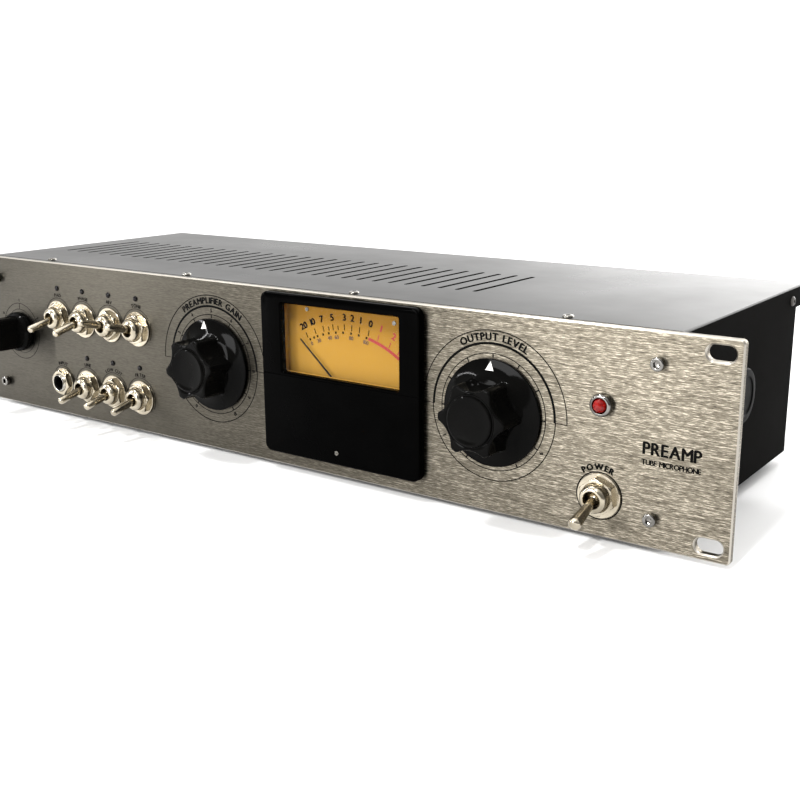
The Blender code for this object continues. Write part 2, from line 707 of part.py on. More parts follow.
def build():
    """Every piece, in its material."""
    aluminium = paint("aluminium", (0.55, 0.52, 0.47), 0.35, 1.0)
    black_paint = paint("black_paint", (0.04, 0.04, 0.04), 0.45, 0.3)
    cover_paint = paint("cover_paint", (0.22, 0.22, 0.21), 0.4, 0.6)
    nickel = paint("nickel", (0.62, 0.58, 0.50), 0.2, 1.0)
    chrome = paint("chrome", (0.75, 0.74, 0.72), 0.1, 1.0)
    phenolic = paint("phenolic", (0.01, 0.01, 0.01), 0.2)
    plastic = paint("plastic", (0.02, 0.02, 0.02), 0.5)
    rubber = paint("rubber", (0.02, 0.02, 0.02), 0.8)
    scale = paint("scale", (0.62, 0.42, 0.14), 0.5)
    clear = paint("clear", (0.9, 0.9, 0.9), 0.05, alpha=0.3)
    needle_black = paint("needle_black", (0.02, 0.02, 0.02), 0.5)
    red = paint("red", (0.6, 0.01, 0.01), 0.15)
    board_green = paint("board_green", (0.02, 0.12, 0.05), 0.5)
    glass = paint("glass", (0.7, 0.7, 0.7), 0.1, alpha=0.4)

    front_panel(aluminium)
    chassis_tray(black_paint)
    top_cover(cover_paint)
    side_plug(plastic)
    panel_screws(nickel)
    feet(rubber)
    lobed_knob("gain_knob", phenolic, GAIN_X, GAIN_REST_DEG)
    lobed_knob("output_knob", phenolic, OUTPUT_X)
    filter_knob(phenolic)
    controls = (("gain", "pot", GAIN_X, KNOB_Z, 0.012, 0.016),
                ("output", "pot", OUTPUT_X, KNOB_Z, 0.012, 0.016),
                ("filter", "rotary", FILTER_X, FILTER_Z, 0.013, 0.024))
    for name, kind, x, z, radius, depth in controls:
        control_body(f"{name}_{kind}", plastic, x, z, radius, depth)
        control_shaft(f"{name}_shaft", nickel, x, z, depth)
    toggles(nickel, nickel)
    jack(plastic, nickel)
    jewel_lamp(chrome, red)
    meter(phenolic, scale, clear, needle_black)
    mains_inlet(plastic)
    xlr_socket("mic_input_socket", MIC_X, plastic, True)
    xlr_socket("line_output_socket", LINE_X, plastic, False)
    transformer(black_paint)
    main_board(board_green)
    tubes(glass)


clear_scene()
FRAME = add_frame()
build()
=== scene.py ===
"""Looks for the two-unit rack microphone preamplifier: fine meshes and procedural materials
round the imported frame.

Pieces are laid out in millimetres in the panel's own frame: x from the panel's centre line,
y back from its front face, z up from its bottom edge. publish() turns them into metres in
the frame of the CAD model.
"""
import json
import math
from math import cos, pi, sin, sqrt, tau

import bmesh
import bpy
from mathutils import Matrix, Vector

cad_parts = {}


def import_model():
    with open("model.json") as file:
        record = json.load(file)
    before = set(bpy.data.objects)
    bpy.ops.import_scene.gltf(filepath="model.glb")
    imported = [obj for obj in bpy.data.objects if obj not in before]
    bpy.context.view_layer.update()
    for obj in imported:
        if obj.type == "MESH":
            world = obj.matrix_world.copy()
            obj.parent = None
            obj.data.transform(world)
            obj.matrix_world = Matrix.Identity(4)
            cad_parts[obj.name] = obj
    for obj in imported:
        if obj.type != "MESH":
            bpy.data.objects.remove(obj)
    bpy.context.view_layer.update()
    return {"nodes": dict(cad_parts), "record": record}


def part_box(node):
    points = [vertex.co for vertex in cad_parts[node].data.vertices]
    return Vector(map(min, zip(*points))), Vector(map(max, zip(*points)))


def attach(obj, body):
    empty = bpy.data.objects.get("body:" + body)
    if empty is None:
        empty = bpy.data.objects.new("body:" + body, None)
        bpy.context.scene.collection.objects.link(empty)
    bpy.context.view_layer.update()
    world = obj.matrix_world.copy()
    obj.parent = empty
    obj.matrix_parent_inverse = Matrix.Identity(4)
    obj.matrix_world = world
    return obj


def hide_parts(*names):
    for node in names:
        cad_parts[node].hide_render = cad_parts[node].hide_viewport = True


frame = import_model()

MM = 0.001
PANEL_LOW, PANEL_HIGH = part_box("front_panel")
ORIGIN = Vector(((PANEL_LOW.x + PANEL_HIGH.x) / 2, PANEL_LOW.y, PANEL_LOW.z))
PANEL_WIDTH = (PANEL_HIGH.x - PANEL_LOW.x) / MM
PANEL_HEIGHT = (PANEL_HIGH.z - PANEL_LOW.z) / MM
PANEL_THICKNESS = 3.2
FLOOR_Z = -ORIGIN.z / MM
POWER = "power_toggle"
TOGGLES = [f"upper_toggle_{i}" for i in range(1, 5)] + [f"lower_toggle_{i}" for i in range(1, 4)] + [POWER]
LEVERS_UP = {"upper_toggle_3", "upper_toggle_4"}


def cad_box(node):
    """Lowest and highest corner of a CAD node, in the panel's frame."""
    low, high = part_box(node)
    return (low - ORIGIN) / MM, (high - ORIGIN) / MM


def middle(node):
    """Centre of a CAD node's box, in the panel's frame."""
    low, high = cad_box(node)
    return (low + high) / 2


def on_axis(node):
    """Where the axis of a turned CAD node meets the panel's face."""
    centre = middle(node)
    return centre.x, 0.0, centre.z


def radians(*degrees):
    return [math.radians(angle) for angle in degrees]


# ---------------- materials

def fill(tree, socket, value):
    """Gives a socket a value, or links an output to it."""
    if isinstance(value, bpy.types.NodeSocket):
        tree.links.new(value, socket)
    else:
        socket.default_value = value


def add_node(tree, kind, **inputs):
    """A new shader node, with its named inputs filled."""
    node = tree.nodes.new("ShaderNode" + kind)
    for name, value in inputs.items():
        fill(tree, node.inputs[name.replace("_", " ")], value)
    return node


class Surface:
    """A Principled material with procedural inputs, in object coordinates."""

    def __init__(self, name, **sockets):
        self.material = bpy.data.materials.new(name)
        self.material.use_nodes = True
        self.tree = self.material.node_tree
        self.shader = self.tree.nodes["Principled BSDF"]
        self.place = self.node("TexCoord").outputs["Object"]
        for socket, value in sockets.items():
            self.set(socket.replace("_", " "), value)

    def node(self, kind, **inputs):
        return add_node(self.tree, kind, **inputs)

    def set(self, socket, value):
        fill(self.tree, self.shader.inputs[socket], value)

    def noise(self, scale, detail=3.0, roughness=0.55):
        """Noise whose cells are about 1/scale metres wide; scale may differ along x, y and z."""
        sizes = scale if isinstance(scale, tuple) else (scale,) * 3
        mapping = self.node("Mapping", Vector=self.place, Scale=sizes)
        texture = self.node(
            "TexNoise", Vector=mapping.outputs["Vector"], Scale=1.0, Detail=detail, Roughness=roughness
        )
        return texture.outputs["Fac"]

    def ramp(self, value, *stops):
        """A colour ramp; each stop is (position, colour)."""
        node = self.node("ValToRGB", Fac=value)
        elements = node.color_ramp.elements
        while len(elements) < len(stops):
            elements.new(0.5)
        for element, (position, color) in zip(elements, stops):
            element.position = position
            element.color = (*color, 1.0)
        return node.outputs["Color"]

    def range(self, value, low, high, start=0.3, end=0.7):
        """Maps a value from start..end to low..high."""
        node = self.node("MapRange", Value=value, From_Min=start, From_Max=end, To_Min=low, To_Max=high)
        return node.outputs["Result"]

    def math(self, operation, a, b=0.0):
        node = self.node("Math")
        node.operation = operation
        fill(self.tree, node.inputs[0], a)
        fill(self.tree, node.inputs[1], b)
        return node.outputs["Value"]

    def mix(self, factor, a, b):
        """Colour a where the factor is 0, b where it is 1."""
        node = self.node("Mix")
        node.data_type = "RGBA"
        fill(self.tree, node.inputs["Factor"], factor)
        for name, value in (("A", a), ("B", b)):
            socket = next(i for i in node.inputs if i.name == name and i.type == "RGBA")
            fill(self.tree, socket, (*value, 1.0) if isinstance(value, tuple) else value)
        return next(o for o in node.outputs if o.type == "RGBA")

    def part(self, vector, axis):
        """One component of a vector."""
        return self.node("SeparateXYZ", Vector=vector).outputs[axis]

    def bump(self, value, depth_mm, strength=1.0):
        """Bump of a given depth; several calls stack up."""
        node = self.node("Bump", Strength=strength, Distance=depth_mm * MM, Height=value)
        earlier = self.shader.inputs["Normal"].links
        if earlier:
            fill(self.tree, node.inputs["Normal"], earlier[0].from_socket)
        self.set("Normal", node.outputs["Normal"])

    def shades(self, scale, dark, light, rough):
        """Colour that wanders between two shades, with matching roughness."""
        self.set("Base Color", self.ramp(self.noise(scale, 4.0), (0.3, dark), (0.7, light)))
        self.set("Roughness", self.range(self.noise(scale, 4.0, 0.7), *rough))


# Span along x, in metres, over which the panel's painted shade on the left gives way to painted highlights on
# the right.
PAINTED_LIGHT_FROM_X, PAINTED_LIGHT_TO_X = -0.06, 0.20
BLACK, WHITE = (0.0, 0.0, 0.0), (1.0, 1.0, 1.0)


def brushed_panel():
    """Aluminium brushed along x, with painted light: painted shade keeps the grain fine, dark and even on the
    left, and painted highlights make it coarser, paler and glinting to the right.
    """
    s = Surface("panel_aluminium", Metallic=1.0, Anisotropic=0.8)
    tangent = s.node("Tangent")
    tangent.direction_type = "RADIAL"
    tangent.axis = "X"
    s.set("Tangent", tangent.outputs["Tangent"])
    long_grain = s.noise((70.0, 900.0, 2600.0), 2.0, 0.5)
    dashes = s.noise((330.0, 900.0, 3900.0), 1.0, 0.5)
    fine = s.noise((1100.0, 2000.0, 5000.0), 2.0, 0.6)
    cloud = s.noise((14.0, 60.0, 30.0), 3.0, 0.5)
    # Painted light: this mask blends from the dark, even ramp (painted shade) on the left to the bright,
    # contrasty coarse ramp (painted highlights and glints) on the right.
    painted_light_mask = s.range(s.part(s.place, "X"), 0.0, 1.0, PAINTED_LIGHT_FROM_X, PAINTED_LIGHT_TO_X)
    grain = s.math("ADD", s.math("MULTIPLY", dashes, 0.5), s.math("MULTIPLY", long_grain, 0.3))
    grain = s.math("ADD", grain, s.math("MULTIPLY", fine, 0.2))
    coarse = s.ramp(
        grain, (0.38, (0.050, 0.043, 0.033)), (0.46, (0.122, 0.107, 0.082)), (0.54, (0.165, 0.147, 0.115)),
        (0.62, (0.43, 0.385, 0.31)),
    )
    grain_in_painted_shade = s.ramp(grain, (0.38, (0.043, 0.039, 0.031)), (0.62, (0.070, 0.064, 0.052)))
    brushed = s.mix(painted_light_mask, grain_in_painted_shade, coarse)
    toned = s.mix(s.range(cloud, 0.0, 0.15), brushed, (0.08, 0.071, 0.056))
    facing = s.math("ABSOLUTE", s.part(s.node("NewGeometry").outputs["Normal"], "Y"))
    chamfer = s.ramp(facing, (0.15, BLACK), (0.5, WHITE), (0.88, WHITE), (0.97, BLACK))
    s.set("Base Color", s.mix(chamfer, toned, (0.46, 0.43, 0.38)))
    s.set("Roughness", s.range(grain, 0.30, 0.40))
    s.bump(grain, 0.02, 0.6)
    return s.material


def satin(name, dark, light, rough, orange_peel=0.012, **extra):
    """Paint, ink or rubber with coarse and fine orange peel."""
    s = Surface(name, **extra)
    s.shades(9.0, dark, light, rough)
    s.bump(s.noise(900.0, 2.0), orange_peel)
    s.bump(s.noise(4200.0, 1.0), orange_peel * 0.3)
    return s.material


def polished(name, dark, light, rough, scale=60.0, ripple=0.004, **extra):
    """Moulded or polished plastic with faint ripples and handling haze."""
    s = Surface(name, **extra)
    s.shades(scale, dark, light, rough)
    s.bump(s.noise(260.0, 2.0), ripple)
    return s.material


def plated(name, dark, light, rough):
    """Plated, turned metal: fine turning marks round the y axis and cloudy tarnish."""
    s = Surface(name, Metallic=1.0)
    s.set("Base Color", s.ramp(s.noise(150.0, 3.0, 0.5), (0.32, dark), (0.62, light)))
    s.set("Roughness", s.range(s.noise(800.0, 3.0), *rough))
    s.bump(s.noise((300.0, 9000.0, 300.0), 2.0), 0.002, 0.5)
    return s.material


def amber_card():
    """Printed card: paper fibre, deeper amber towards the top edge, and faint mottling."""
    s = Surface("scale_card", IOR=1.12)
    low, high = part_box("meter_scale")
    height = s.range(s.part(s.place, "Z"), 0.0, 1.0, low.z, high.z)
    mottled = s.math("ADD", height, s.math("MULTIPLY", s.noise(40.0, 3.0), 0.25))
    s.set("Base Color", s.ramp(
        mottled, (0.1, (0.44, 0.247, 0.045)), (0.55, (0.40, 0.217, 0.034)), (1.0, (0.29, 0.142, 0.018)),
    ))
    s.set("Roughness", s.range(s.noise(700.0, 4.0), 0.5, 0.7))
    s.bump(s.noise(2600.0, 3.0), 0.01)
    return s.material


def clear_acrylic():
    s = Surface("clear_window", Alpha=0.03, IOR=1.49)
    haze = s.noise((30.0, 30.0, 90.0), 3.0)
    s.set("Base Color", s.ramp(haze, (0.3, (0.02, 0.02, 0.018)), (0.7, (0.06, 0.06, 0.055))))
    s.set("Roughness", s.range(haze, 0.01, 0.03))
    return s.material


def jewel_red():
    s = Surface(
        "red_lens", Specular_IOR_Level=0.2, Coat_Weight=0.25, Coat_Roughness=0.03, Emission_Strength=0.08
    )
    depth = s.noise(900.0, 3.0, 0.6)
    s.set("Base Color", s.ramp(depth, (0.3, (0.09, 0.001, 0.001)), (0.7, (0.26, 0.004, 0.003))))
    s.set("Emission Color", s.ramp(depth, (0.4, (0.25, 0.0, 0.0)), (0.75, (1.0, 0.06, 0.03))))
    s.set("Roughness", s.range(depth, 0.08, 0.22))
    return s.material


def tube_glass():
    s = Surface("tube_glass", Specular_IOR_Level=0.6, Alpha=0.35)
    s.shades(120.0, (0.55, 0.56, 0.56), (0.85, 0.85, 0.83), (0.03, 0.10))
    return s.material


def grey(value):
    return (value, value, value)


def make_materials():
    """One material for each slot of the record, and the inks that print on them."""
    made = [
        brushed_panel(), amber_card(), clear_acrylic(), jewel_red(), tube_glass(),
        satin("tray_paint", (0.001, 0.0009, 0.0007), (0.002, 0.0018, 0.0015), (0.5, 0.6), IOR=1.035),
        # The lid's top takes this lighter, glossier paint and its lips the tray paint: a lit and a shaded
        # copy of one paint.
        satin(
            "cover_paint", (0.0016, 0.0015, 0.0012), (0.003, 0.0028, 0.0022), (0.26, 0.33), 0.005, IOR=1.13
        ),
        satin("needle_black", grey(0.003), grey(0.008), (0.4, 0.5), 0.003, IOR=1.25),
        satin("foot_rubber", grey(0.010), (0.022, 0.021, 0.020), (0.65, 0.85), 0.03),
        satin("core_steel", (0.035, 0.03, 0.028), (0.075, 0.068, 0.06), (0.3, 0.55), 0.03),
        polished("knob_phenolic", grey(0.0016), (0.0026, 0.0025, 0.0022), (0.05, 0.09), IOR=1.11),
        polished("meter_black", grey(0.0004), grey(0.0008), (0.05, 0.09), IOR=1.055),
        polished("black_plastic", grey(0.0015), grey(0.004), (0.35, 0.5), 200.0, 0.01, IOR=1.07),
        polished("circuit_board", (0.008, 0.07, 0.025), (0.014, 0.13, 0.05), (0.25, 0.4), 300.0, 0.02),
        plated("zinc_plate", (0.09, 0.085, 0.075), (0.22, 0.21, 0.19), (0.18, 0.32)),
        plated("jack_plating", (0.50, 0.48, 0.43), (0.74, 0.72, 0.67), (0.16, 0.28)),
        plated("nickel", (0.32, 0.283, 0.217), (0.54, 0.485, 0.385), (0.15, 0.25)),
        plated("chrome", (0.10, 0.097, 0.09), (0.24, 0.232, 0.218), (0.05, 0.12)),
        satin("ink_black", (0.0012, 0.0011, 0.001), (0.003, 0.0028, 0.0025), (0.40, 0.55), 0.004, IOR=1.1),
        satin("ink_brown", (0.05, 0.018, 0.005), (0.08, 0.03, 0.009), (0.5, 0.65), 0.004),
        satin("ink_red", (0.24, 0.004, 0.002), (0.31, 0.007, 0.004), (0.45, 0.6), 0.004),
        satin("ink_white", (0.66, 0.65, 0.61), (0.80, 0.79, 0.75), (0.40, 0.55), 0.004),
        polished("led_smoke", grey(0.001), (0.004, 0.003, 0.003), (0.1, 0.2), 500.0, IOR=1.25),
    ]
    # Where the CAD has a material of the same name, Blender adds a number after a dot.
    return {material.name.split(".")[0]: material for material in made}


# ---------------- meshes
# Every builder adds to the bmesh it is given and returns it.

new = bmesh.new


def lay(a, b, along, axis):
    """A point from two coordinates across an axis and one along it."""
    return {"x": (along, a, b), "y": (a, along, b), "z": (a, b, along)}[axis]


def skin(bm, rings, closed=False):
    """Skins a run of equal rings; a closed run joins up, an open one gets end caps."""
    loops = [[bm.verts.new(point) for point in ring] for ring in rings]
    pairs = list(zip(loops, loops[1:]))
    if closed:
        pairs.append((loops[-1], loops[0]))
    for near, far in pairs:
        for i in range(len(near)):
            j = (i + 1) % len(near)
            bm.faces.new((near[i], near[j], far[j], far[i]))
    if not closed:
        bm.faces.new(loops[0])
        bm.faces.new(loops[-1])
    return bm


def turn(bm, profile, count=64, place=(0, 0, 0), axis="y", closed=False):
    """Turns (radius, distance along the axis) pairs; a radius may be a function of the angle."""
    rings = []
    for radius, along in profile:
        ring = []
        for i in range(count):
            angle = tau * i / count
            size = radius(angle) if callable(radius) else radius
            point = lay(size * cos(angle), size * sin(angle), along, axis)
            ring.append(tuple(p + q for p, q in zip(point, place)))
        rings.append(ring)
    return skin(bm, rings, closed)


def prism(bm, outline, ends, axis="y"):
    """An outline stretched along an axis, from one end to the other."""
    return skin(bm, [[lay(a, b, end, axis) for a, b in outline] for end in ends])


def rounded_rectangle(left, right, bottom, top, radius, steps=8):
    """A rectangle with round corners, anticlockwise."""
    points = []
    corners = (
        (right - radius, bottom + radius, -90), (right - radius, top - radius, 0),
        (left + radius, top - radius, 90), (left + radius, bottom + radius, 180),
    )
    for x, z, start in corners:
        for i in range(steps + 1):
            angle = math.radians(start + 90 * i / steps)
            points.append((x + radius * cos(angle), z + radius * sin(angle)))
    return points


def stack(bm, bounds, radius, layers, steps=8, ease=1.0):
    """Rounded rectangles; each layer is (inset, y), and the radius falls by ease times the inset."""
    left, right, bottom, top = bounds
    rings = []
    for inset, y in layers:
        outline = rounded_rectangle(
            left + inset, right - inset, bottom + inset, top - inset, radius - ease * inset, steps
        )
        rings.append([(x, y, z) for x, z in outline])
    return skin(bm, rings)


def face_of(node, margin_x=0.0, margin_z=0.0):
    """Left, right, bottom and top of a CAD node seen from the front, less a margin."""
    low, high = cad_box(node)
    return low.x + margin_x, high.x - margin_x, low.z + margin_z, high.z - margin_z


def plate(bm, bounds, radius, front, rear, bevel, steps):
    """A rectangular plate facing the front, with round corners and a rounded front edge."""
    layers = [(bevel * (1 - sin(a)), front + bevel * (1 - cos(a))) for a in radians(0, 30, 60, 90)]
    return stack(bm, bounds, radius, layers + [(0, rear)], steps)


def block(bm, low, high, bevel):
    """A box with rounded edges."""
    part = new()
    bmesh.ops.create_cube(part, size=1.0)
    bmesh.ops.scale(part, vec=[b - a for a, b in zip(low, high)], verts=part.verts)
    bmesh.ops.translate(part, vec=[(a + b) / 2 for a, b in zip(low, high)], verts=part.verts)
    bmesh.ops.bevel(
        part, geom=part.edges[:], offset=bevel, segments=3, profile=0.5, affect="EDGES", clamp_overlap=True
    )
    mesh = bpy.data.meshes.new("part")
    part.to_mesh(mesh)
    part.free()
    bm.from_mesh(mesh)
    bpy.data.meshes.remove(mesh)
    return bm


def show(name, data):
    """Puts a mesh, a curve, a light or a camera into the scene."""
    item = bpy.data.objects.new(name, data)
    bpy.context.scene.collection.objects.link(item)
    return item


def solid(name, bm):
    """Turns a bmesh into an object, still in millimetres."""
    bmesh.ops.recalc_face_normals(bm, faces=bm.faces)
    mesh = bpy.data.meshes.new(name)
    bm.to_mesh(mesh)
    bm.free()
    return show(name, mesh)


def publish(name, bm, slot, replaced=None, body="chassis", ink=None, sharp=35.0, cutters=()):
    """Turns millimetres in the panel's frame into a piece that rides on a body."""
    piece = solid(name, bm)
    piece.data.materials.append(MATERIALS[ink or slot])
    for cutter in cutters:
        carve(piece, cutter)
    piece.data.transform(Matrix.Translation(ORIGIN) @ Matrix.Scale(MM, 4))
    piece.data.shade_smooth()
    piece.data.set_sharp_from_angle(angle=math.radians(sharp))
    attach(piece, body)
    if replaced:
        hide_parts(replaced)


def carve(piece, cutter):
    """Cuts a bmesh's volume out of a piece, and keeps the piece's material."""
    tool = solid("cutter", cutter)
    modifier = piece.modifiers.new("cut", "BOOLEAN")
    modifier.operation = "DIFFERENCE"
    modifier.solver = "EXACT"
    modifier.object = tool
    graph = bpy.context.evaluated_depsgraph_get()
    result = bpy.data.meshes.new_from_object(piece.evaluated_get(graph))
    piece.modifiers.clear()
    uncut, piece.data = piece.data, result
    used = tool.data
    bpy.data.objects.remove(tool)
    bpy.data.meshes.remove(uncut)
    bpy.data.meshes.remove(used)


# ---------------- ink and lettering

INK_FRONT, INK_REAR = -0.06, -0.01
GLYPHS = {}
GLYPH_DEPTH = 0.01
SPACE_WIDTH = 0.28
STRIKE = 0.085
BOLD_SIZE = 3.5
BOLD_STRIKE = 0.52


def ribbon(bm, points, width, front=INK_FRONT, rear=INK_REAR, closed=False):
    """A flat printed line of a given width along points in the x-z plane."""
    count = len(points)
    rings = []
    for i, (x, z) in enumerate(points):
        before = points[i - 1] if i or closed else points[0]
        after = points[(i + 1) % count] if i + 1 < count or closed else points[-1]
        direction = Vector((after[0] - before[0], after[1] - before[1])).normalized()
        aside = Vector((-direction.y, direction.x)) * width / 2
        a, b = (x + aside.x, z + aside.y), (x - aside.x, z - aside.y)
        rings.append([(a[0], front, a[1]), (b[0], front, b[1]), (b[0], rear, b[1]), (a[0], rear, a[1])])
    skin(bm, rings, closed)


def around(centre, radius, angle):
    """A point at a clockwise angle in radians from straight up."""
    return centre[0] + radius * sin(angle), centre[1] + radius * cos(angle)


def arc(centre, radius, start, end, steps=64):
    """Points along an arc; angles in degrees clockwise from straight up."""
    return [around(centre, radius, math.radians(start + (end - start) * i / steps)) for i in range(steps + 1)]


def ring_line(bm, centre, radius, width):
    ribbon(bm, arc(centre, radius, 0, 360, 120)[:-1], width, closed=True)


def ray(bm, centre, angle, inner, outer, width, **depth):
    """A short line pointing away from the centre."""
    ribbon(bm, [around(centre, r, math.radians(angle)) for r in (inner, outer)], width, **depth)


def glyph(letter):
    """A letter's mesh at size 1, with its width: (vertices, faces, width)."""
    if letter not in GLYPHS:
        curve = bpy.data.curves.new("glyph", "FONT")
        curve.body = letter
        curve.size = 1.0
        curve.resolution_u = 4
        curve.extrude = GLYPH_DEPTH
        item = show("glyph", curve)
        graph = bpy.context.evaluated_depsgraph_get()
        mesh = bpy.data.meshes.new_from_object(item.evaluated_get(graph))
        vertices = [tuple(v.co) for v in mesh.vertices]
        faces = [tuple(p.vertices) for p in mesh.polygons]
        left, right = min(v[0] for v in vertices), max(v[0] for v in vertices)
        GLYPHS[letter] = ([(x - left, y, z) for x, y, z in vertices], faces, right - left)
        bpy.data.objects.remove(item)
        bpy.data.meshes.remove(mesh)
        bpy.data.curves.remove(curve)
    return GLYPHS[letter]


def letter_widths(text, size, tracking):
    widths = [(SPACE_WIDTH if c == " " else glyph(c)[2]) * size for c in text]
    return widths, sum(widths) + tracking * size * (len(text) - 1)


def put_glyph(bm, letter, size, squeeze, place, turned, front):
    """One letter, struck three times to thicken it, with its lower left corner at place."""
    vertices, faces, _ = glyph(letter)
    by = STRIKE if size < BOLD_SIZE else BOLD_STRIKE / size
    cosine, sine = cos(turned), sin(turned)
    for strike, lift, depth in ((0, 0, 0), (by, 0, 0.003), (by / 2, by / 2, 0.006)):
        made = []
        for x, y, z in vertices:
            across, up = (x * squeeze + strike) * size, (y + lift) * size
            px = place[0] + across * cosine + up * sine
            pz = place[1] - across * sine + up * cosine
            made.append(bm.verts.new((px, front + depth + (GLYPH_DEPTH - z) * 2, pz)))
        for face in faces:
            bm.faces.new([made[i] for i in face])


def write(bm, text, centre, radius, size, middle_angle=0.0, tracking=0.12, squeeze=1.0, front=INK_FRONT):
    """Lettering with its baseline on an arc, reading clockwise; with no radius, a straight line."""
    widths, total = letter_widths(text, size * squeeze, tracking)
    travelled = -total / 2
    for letter, width in zip(text, widths):
        if letter != " ":
            angle, start = 0, (centre[0] + travelled, centre[1])
            if radius:
                angle = math.radians(middle_angle) + (travelled + width / 2) / radius
                base = around(centre, radius, angle)
                start = (base[0] - width / 2 * cos(angle), base[1] + width / 2 * sin(angle))
            put_glyph(bm, letter, size, squeeze, start, angle, front)
        travelled += width + tracking * size * squeeze


# ---------------- panel and casing

PANEL_CORNER = 1.8
CHAMFER, REAR_CHAMFER = 0.6, 0.2
SLOT_X, SLOT_RISE = 232.55, 38.1
SLOT_LENGTH, SLOT_WIDTH = 11.4, 6.4
NEARLY_ROUND = 0.9999
AHEAD, BEHIND = -5, 20.0

FOLD = 1.0
SHEET = 1.2
NOTCH = 2.6
VENT_COUNT, VENT_FIRST_X, VENT_PITCH = 31, -197, 9.85
VENT_FRONT_Y, VENT_REAR_Y, VENT_WIDTH = 42, 99, 2.5

LID_SCREW_X = (-165.75, -55.25, 55.25, 165.75)
LID_SCREW_Y = 7.0
SIDE_SCREW_Y = (24, 137)
SIDE_SCREW_Z = 81.5


def front_panel():
    """The panel: chamfered edges, countersunk rack slots, and a hole for every control."""
    half = PANEL_WIDTH / 2
    layers = (
        (CHAMFER, 0), (0, CHAMFER), (0, PANEL_THICKNESS - REAR_CHAMFER),
        (REAR_CHAMFER, PANEL_THICKNESS),
    )
    panel = stack(new(), (-half, half, 0, PANEL_HEIGHT), PANEL_CORNER, layers)
    cutter = new()
    long, wide = SLOT_LENGTH / 2, SLOT_WIDTH / 2
    countersunk = ((-2 * CHAMFER, -CHAMFER), (0, CHAMFER), (0, BEHIND))
    for x in (-SLOT_X, SLOT_X):
        for z in (PANEL_HEIGHT / 2 - SLOT_RISE, PANEL_HEIGHT / 2 + SLOT_RISE):
            bounds = (x - long, x + long, z - wide, z + wide)
            stack(cutter, bounds, wide * NEARLY_ROUND, countersunk, 10, NEARLY_ROUND)
    holes = [(f"{name}_nut", 6.2) for name in TOGGLES]
    holes += [(f"panel_screw_{i}", 1.8) for i in range(1, 5)]
    holes += [(f"{name}_shaft", 5) for name in ("gain", "output", "filter")]
    holes += [("jack_nut", 5), ("indicator_bezel", 4.1)]
    for node, radius in holes:
        turn(cutter, ((radius, AHEAD), (radius, BEHIND)), 40, on_axis(node))
    prism(cutter, rounded_rectangle(*face_of("meter_case", 3, 2.8), 2), (AHEAD, BEHIND))
    publish("panel_plate", panel, "panel_aluminium", "front_panel", sharp=25.0, cutters=[cutter])


def top_cover():
    """The folded lid: rounded folds and vent slots above, and lips with a notch at the rear; the lips take
    the duller tray paint as painted shade, so the lid's sides look darker than its top.
    """
    low, high = cad_box("top_cover")
    seam = high.z - FOLD
    levels = [(0, low.z)]
    levels += [
        (FOLD * (1 - cos(a)), high.z - FOLD * (1 - sin(a))) for a in radians(0, 22.5, 45, 67.5, 90)
    ]

    def oblong(left, right, front, rear):
        return [(left, front), (right, front), (right, rear), (left, rear)]

    # Painted shade: the lips are the lid's own sheet, given the darker, duller tray paint so that they look
    # shaded beside the lighter, glossier top.
    for name, slot, taken_away in (
        ("lid", "cover_paint", (60, seam)), ("lid_lips", "tray_paint", (seam, 100)),
    ):
        rings = [
            [(x, y, z) for x, y in oblong(low.x + inset, high.x - inset, low.y, high.y - inset)]
            for inset, z in levels
        ]
        inside = oblong(low.x + SHEET, high.x - SHEET, 0, high.y - SHEET)
        beyond = oblong(low.x - 5, high.x + 5, -5, high.y + 5)
        openings = new()
        if name == "lid":
            for i in range(VENT_COUNT):
                x = VENT_FIRST_X + i * VENT_PITCH
                half = VENT_WIDTH / 2
                vent = rounded_rectangle(x - half, x + half, VENT_FRONT_Y, VENT_REAR_Y, half * 0.999, 5)
                prism(openings, vent, (80, 100), "z")
        else:
            for side in (low.x, high.x):
                notch = oblong(side - 3, side + 3, high.y - NOTCH, high.y + 3)
                prism(openings, notch, (60, low.z + 4), "z")
        hollow = prism(new(), inside, (50, high.z - 1.5), "z")
        cutters = [hollow, prism(new(), beyond, taken_away, "z"), openings]
        publish(name, skin(new(), rings), slot, "top_cover", sharp=30.0, cutters=cutters)


def hexagon(flat_radius, phase=0.0, limit=1e9):
    """Radius of a hexagon at an angle, cut by a circle at its corners."""
    def radius(angle):
        off = (angle - phase + pi / 6) % (pi / 3) - pi / 6
        return min(flat_radius / cos(off), limit)
    return radius


def button_head(bm, place, radius, height, axis, towards=1):
    """A domed screw head with a hexagon socket, along an axis."""
    socket = hexagon(radius * 0.42)
    profile = [(radius, 0), (radius, height * 0.25)]
    profile += [
        (radius * (0.62 + 0.38 * cos(a)), height * (0.25 + 0.75 * sin(a)))
        for a in radians(30, 60, 90)
    ]
    profile += [(socket, height), (socket, height * 0.35), (radius * 0.05, height * 0.2)]
    return turn(bm, [(r, towards * h) for r, h in profile], 36, place, axis)


def panel_screw(number):
    """A socket cap screw with a fluted head."""
    head, front = 2.8, -3.1
    fluted = lambda angle: head - 0.06 * (1 + cos(24 * angle)) / 2
    socket = hexagon(1.3, 0.2)
    profile = (
        (1.5, 7.5), (1.5, -0.3), (2.75, -0.3), (fluted, -0.45), (fluted, front + 0.5), (2.72, front + 0.25),
        (2.5, front + 0.05), (2.2, front), (1.6, front), (socket, front + 0.15), (socket, -1.4), (0.1, -1.1),
    )
    node = f"panel_screw_{number}"
    publish(f"cap_screw_{number}", turn(new(), profile, 96, on_axis(node)), "chrome", node)


